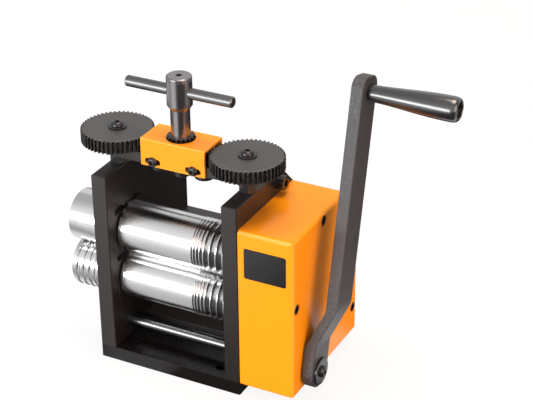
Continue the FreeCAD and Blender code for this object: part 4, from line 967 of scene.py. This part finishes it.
def dog_leg(height, side, thickness, offset):
    """How far the bar stands out at this height: an S bend between two straight stretches."""
    start, end, margin = 24 * MM, 62 * MM, 3 * MM
    lag = (thickness / 2 - side) * 0.36
    t = min(1.0, max(0.0, (height + lag - start + margin) / (end - start + 2 * margin)))
    ease = 0.16
    if t < ease:
        share = t * t / (2 * ease)
    elif t > 1 - ease:
        share = (1 - ease) - (1 - t) ** 2 / (2 * ease)
    else:
        share = t - ease / 2
    return offset * share / (1 - ease)


def flat_bar(length, width, thickness):
    """An upright bar on X = 0 with a round foot and rounded corners on top, its edges already broken."""
    half, corner = width / 2, 10 * MM
    side, crown = half - corner, length + 3.9 * MM
    outline = (arc(side, crown, corner, 0, 90, 16) + arc(-side, crown, corner, 90, 180, 16)
               + arc(0, 0, half, 180, 360, 32))
    bm = slab([(0, across, up) for across, up in outline], (thickness, 0, 0))
    soften(bm, 0.9 * MM, segments=3, angle=50)
    return bm


def build_grip(axis):
    """The tapered handle: slim at the arm, full towards its rounded end, bored for its bolt, hollow there."""
    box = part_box("crank_grip")
    length = span(box, X)
    small, large = 7.2 * MM, span(box, Z) / 2
    bore, floor, lip = 4.2 * MM, length - 9 * MM, 1.2 * MM
    profile = [(0.0, bore), (0.0, small - lip), (lip / 3, small - lip / 3), (lip, small)]
    taper_steps = 24
    for step in range(1, taper_steps):
        t = step / taper_steps
        swell = (1 - math.cos(math.pi * t ** 0.9)) / 2
        profile.append((lip + floor * t, small + (large - small) * swell))
    rounded_end = ((6, 0), (3.2, 0.25), (1.5, 1.0), (0.4, 2.2), (0, 3.4))
    profile += [(length - inwards * MM, large - down * MM) for inwards, down in rounded_end]
    profile += [(length - 0.1 * MM, 7.2 * MM), (length - 0.6 * MM, 6.8 * MM), (floor, 6.7 * MM),
                (floor, bore)]
    bm = turned(profile, 96, closed=True)
    bmesh.ops.translate(bm, vec=on_shaft(axis, box[0].x), verts=bm.verts)
    add_piece("crank_grip", bm, smooth=35)


def build_drive():
    """The drive shaft that shows between the plates."""
    low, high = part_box("drive_shaft")
    axis = hinge_place("crank_turn")
    radius, crank_seat, chamfer = 6 * MM, 4.5 * MM, 0.8 * MM
    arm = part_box("crank_arm")[0].x
    profile = [(low.x, radius - chamfer), (low.x + chamfer, radius), (arm, radius), (arm, crank_seat),
               (high.x, crank_seat)]
    bm = spun(profile, 72, on_shaft(axis, 0))
    add_piece("drive_shaft", bm, smooth=30)


KEPT_NODES = (
    "base_screws", "cross_plate_screws", "lower_roller_bushes", "upper_roller_bushes", "drive_shaft_bushes",
    "drive_idler_stud", "retaining_rings", "cover_bush", "cover_posts", "handle_bush", "lift_springs",
    "upper_roller_keys", "upper_roller_gear", "lower_roller_keys", "lower_roller_gear", "drive_wheel",
    "drive_idler", "drive_idler_bush", "drive_pinion", "grip_bolt", "handle_set_screw")


def finish_kept_nodes():
    """Gives the CAD pieces that stay, mostly hidden ones, the finish of their slot."""
    for node in KEPT_NODES:
        mesh = frame["nodes"][node].data
        mesh.materials.clear()
        mesh.materials.append(FINISHES[SLOT_OF[node]])


# Stage

CAMERA_PLACE = Vector((0.63817, -1.10395, 0.82666))
CAMERA_AZIMUTH = math.radians(27.486)
CAMERA_ELEVATION = math.radians(28.398)
CAMERA_ROLL = math.radians(-0.562)
FRAME_WIDTH = 533
FOCAL_PIXELS = 1626.58
CENTRE_DROP_PIXELS = 6.38


def make_camera():
    """A long lens at the height of a standing person's eyes, close to the bench."""
    back = Vector((math.sin(CAMERA_AZIMUTH) * math.cos(CAMERA_ELEVATION),
                   -math.cos(CAMERA_AZIMUTH) * math.cos(CAMERA_ELEVATION), math.sin(CAMERA_ELEVATION)))
    right = (-back).cross(Z_AXIS).normalized()
    up = right.cross(-back)
    tilted_right = right * math.cos(CAMERA_ROLL) + up * math.sin(CAMERA_ROLL)
    tilted_up = up * math.cos(CAMERA_ROLL) - right * math.sin(CAMERA_ROLL)
    turn = Matrix((tilted_right, tilted_up, back)).transposed()
    data = bpy.data.cameras.new("camera")
    data.sensor_width = 36.0
    data.lens = FOCAL_PIXELS / FRAME_WIDTH * data.sensor_width
    data.shift_y = CENTRE_DROP_PIXELS / FRAME_WIDTH
    data.clip_start = 0.1
    data.clip_end = 50
    camera = in_scene("camera", data)
    camera.matrix_world = Matrix.Translation(CAMERA_PLACE) @ turn.to_4x4()
    bpy.context.scene.camera = camera


def own_graph(owner):
    """The emptied node tree of a new material or world."""
    owner.use_nodes = True
    owner.node_tree.nodes.clear()
    return Graph(owner.node_tree)


def seen_directly(graph):
    """1 where the camera looks straight at a surface, and through glass."""
    rays = {0: graph.ray("Is Camera Ray"), 1: graph.ray("Is Transmission Ray")}
    return graph.node("ShaderNodeMath", {"operation": "MAXIMUM"}, rays)


def beam(graph, place, direction, limit):
    """1 along this direction from the mill, fading to 0 where the cosine of the angle to it is the limit."""
    bearing = graph.node("ShaderNodeVectorMath", {"operation": "NORMALIZE"}, {0: place})
    along = graph.node("ShaderNodeVectorMath", {"operation": "DOT_PRODUCT"}, {0: bearing, 1: direction},
                       output="Value")
    full = 1 - 0.12 * (1 - limit)
    return graph.between(along, limit, full, "SMOOTHSTEP")


def mirrored_patches(graph):
    """How bright polished metal sees the floor: dark, with three bright patches round the mill."""
    place = graph.node("ShaderNodeTexCoord", output="Object")
    distance = graph.node("ShaderNodeVectorMath", {"operation": "LENGTH"}, {0: place}, output="Value")
    far = graph.between(distance, 0.12, 0.45)
    left = beam(graph, place, (-0.42, -0.907, 0), 0.86) * (0.55 + 0.45 * far)
    outer = beam(graph, place, (-0.995, -0.1, 0), 0.80)
    right = beam(graph, place, (0.985, 0.174, 0), 0.93)
    return 0.06 + 0.92 * left + 0.8 * outer + 0.92 * right


def floor_white():
    """The floor's material: white to the camera with a share of real light, so that it keeps the shadow."""
    material = bpy.data.materials.new("floor_white")
    graph = own_graph(material)
    lit = graph.node("ShaderNodeBsdfDiffuse", inputs={"Color": (0.8, 0.8, 0.8, 1)})
    white = graph.node("ShaderNodeEmission", inputs={"Color": WHITE, "Strength": 1.03})
    plain = graph.either(0.86, lit, white)
    mirrored = graph.node("ShaderNodeEmission", inputs={"Color": WHITE, "Strength": mirrored_patches(graph)})
    indirect = graph.either(graph.ray("Is Glossy Ray"), lit, mirrored)
    shown = graph.either(seen_directly(graph), indirect, plain)
    graph.node("ShaderNodeOutputMaterial", inputs={"Surface": shown})
    return material


def make_floor():
    """A wide floor just below the mill."""
    bm = bmesh.new()
    bmesh.ops.create_grid(bm, x_segments=1, y_segments=1, size=8)
    bmesh.ops.translate(bm, vec=(0, 0, -0.2 * MM), verts=bm.verts)
    floor = in_scene("floor", mesh_of("floor", bm))
    floor.data.materials.append(floor_white())


def make_world(settings):
    """White to the camera; warm even light, most from the front; metal mirrors walls brightest in front."""
    world = bpy.data.worlds.new("room")
    bpy.context.scene.world = world
    graph = own_graph(world)
    place = graph.node("ShaderNodeTexCoord", output="Generated")
    depth = graph.node("ShaderNodeSeparateXYZ", inputs={0: place}, output="Y")
    front = graph.between(depth, 0.35, -0.45, "SMOOTHSTEP")
    even = settings.far_light + (settings.soft_light - settings.far_light) * front
    walls = 0.5 + 0.5 * graph.between(depth, -0.10, -0.80) + 0.3 * graph.between(depth, 0.45, 0.60)
    mirrored = settings.mirrored_light * walls
    glossy = graph.ray("Is Glossy Ray")
    strength = even + glossy * (mirrored - even)
    tint = graph.blend(glossy, (1.0, 0.88, 0.80, 1), WHITE)
    room = graph.node("ShaderNodeBackground", inputs={"Color": tint, "Strength": strength})
    white = graph.node("ShaderNodeBackground", inputs={"Color": WHITE, "Strength": 1.0})
    graph.node("ShaderNodeOutputWorld", inputs={"Surface": graph.either(seen_directly(graph), room, white)})


def make_lamp(name, place, size, power, colour=(1, 1, 1), target=(0, 0, 0.12), mirrored=True):
    """A soft rectangular lamp that shines on the target; polished metal may be kept from mirroring it."""
    data = bpy.data.lights.new(name, "AREA")
    data.color = colour
    data.shape = "RECTANGLE"
    data.size, data.size_y = size
    data.energy = power
    lamp = in_scene(name, data)
    place = Vector(place)
    turn = (Vector(target) - place).to_track_quat("-Z", "Y").to_matrix().to_4x4()
    lamp.matrix_world = Matrix.Translation(place) @ turn
    lamp.visible_glossy = mirrored


def make_stage():
    """The camera, the floor, the room and the lamps."""
    scene = bpy.context.scene
    settings = scene.mill_stage
    scene.view_settings.view_transform = "Standard"
    make_camera()
    make_floor()
    make_world(settings)
    make_lamp("key", (-0.60, 0.15, 1.55), (1.0, 0.8), settings.key_power, mirrored=False)
    make_lamp("side", (1.7, -0.5, 0.7), (1.2, 1.2), settings.side_power, (1.0, 0.62, 0.48))
    make_lamp("top", (0.25, 0.15, 1.7), (0.8, 0.8), settings.top_power, (1.0, 0.78, 0.64))
    make_lamp("front", (-0.9, -2.0, 0.42), (1.6, 0.80), settings.front_power, target=(0, 0, 0.15))


# Operators, panel and registration

def step_operator(name, label, doc, work):
    """An operator that does one step of the dressing."""
    def execute(self, context):
        work()
        return {"FINISHED"}
    members = {"bl_idname": "mill." + name, "bl_label": label, "__doc__": doc, "execute": execute}
    return type("MILL_OT_" + name, (bpy.types.Operator,), members)


OPERATORS = (
    step_operator("finishes", "Finishes", "Makes the mill's materials", make_finishes),
    step_operator("plates", "Frame", "Builds the black frame plates, blocks and tie rod", build_plates),
    step_operator("rollers", "Rollers", "Builds the rollers and outer rings", build_rollers),
    step_operator("adjuster", "Adjusting train", "Builds the gears and spindles on top", build_adjuster),
    step_operator("hood", "Gear hood", "Builds the folded hood and its screws", build_hood),
    step_operator("t_handle", "T-handle", "Builds the screw-down handle", build_t_handle),
    step_operator("cover", "Gear cover", "Builds the painted cover and its bare plate", build_cover),
    step_operator("crank", "Crank", "Builds the crank arm and grip", build_crank),
    step_operator("drive", "Drive shaft", "Builds the visible drive shaft", build_drive),
    step_operator("hidden", "Hidden pieces", "Gives the inner pieces their finishes", finish_kept_nodes),
    step_operator("stage", "Stage", "Makes the camera, floor, room and lights", make_stage),
)


class MILL_PT_panel(bpy.types.Panel):
    """Lists the steps that dress the mill"""

    bl_label = "Rolling mill"
    bl_space_type = "VIEW_3D"
    bl_region_type = "UI"
    bl_category = "Mill"

    def draw(self, context):
        for group in (context.scene.mill_shape, context.scene.mill_colours, context.scene.mill_stage):
            for name in group.__annotations__:
                self.layout.prop(group, name)
        for operator in OPERATORS:
            self.layout.operator(operator.bl_idname)


SETTINGS = {"mill_shape": ShapeSettings, "mill_colours": ColourSettings, "mill_stage": StageSettings}


def register():
    for name, settings in SETTINGS.items():
        bpy.utils.register_class(settings)
        setattr(bpy.types.Scene, name, PointerProperty(type=settings))
    for operator in OPERATORS:
        bpy.utils.register_class(operator)
    bpy.utils.register_class(MILL_PT_panel)


def unregister():
    bpy.utils.unregister_class(MILL_PT_panel)
    for operator in reversed(OPERATORS):
        bpy.utils.unregister_class(operator)
    for name, settings in SETTINGS.items():
        delattr(bpy.types.Scene, name)
        bpy.utils.unregister_class(settings)


def main():
    register()
    for operator in OPERATORS:
        group, step = operator.bl_idname.split(".")
        getattr(getattr(bpy.ops, group), step)()


if __name__ == "__main__":
    main()
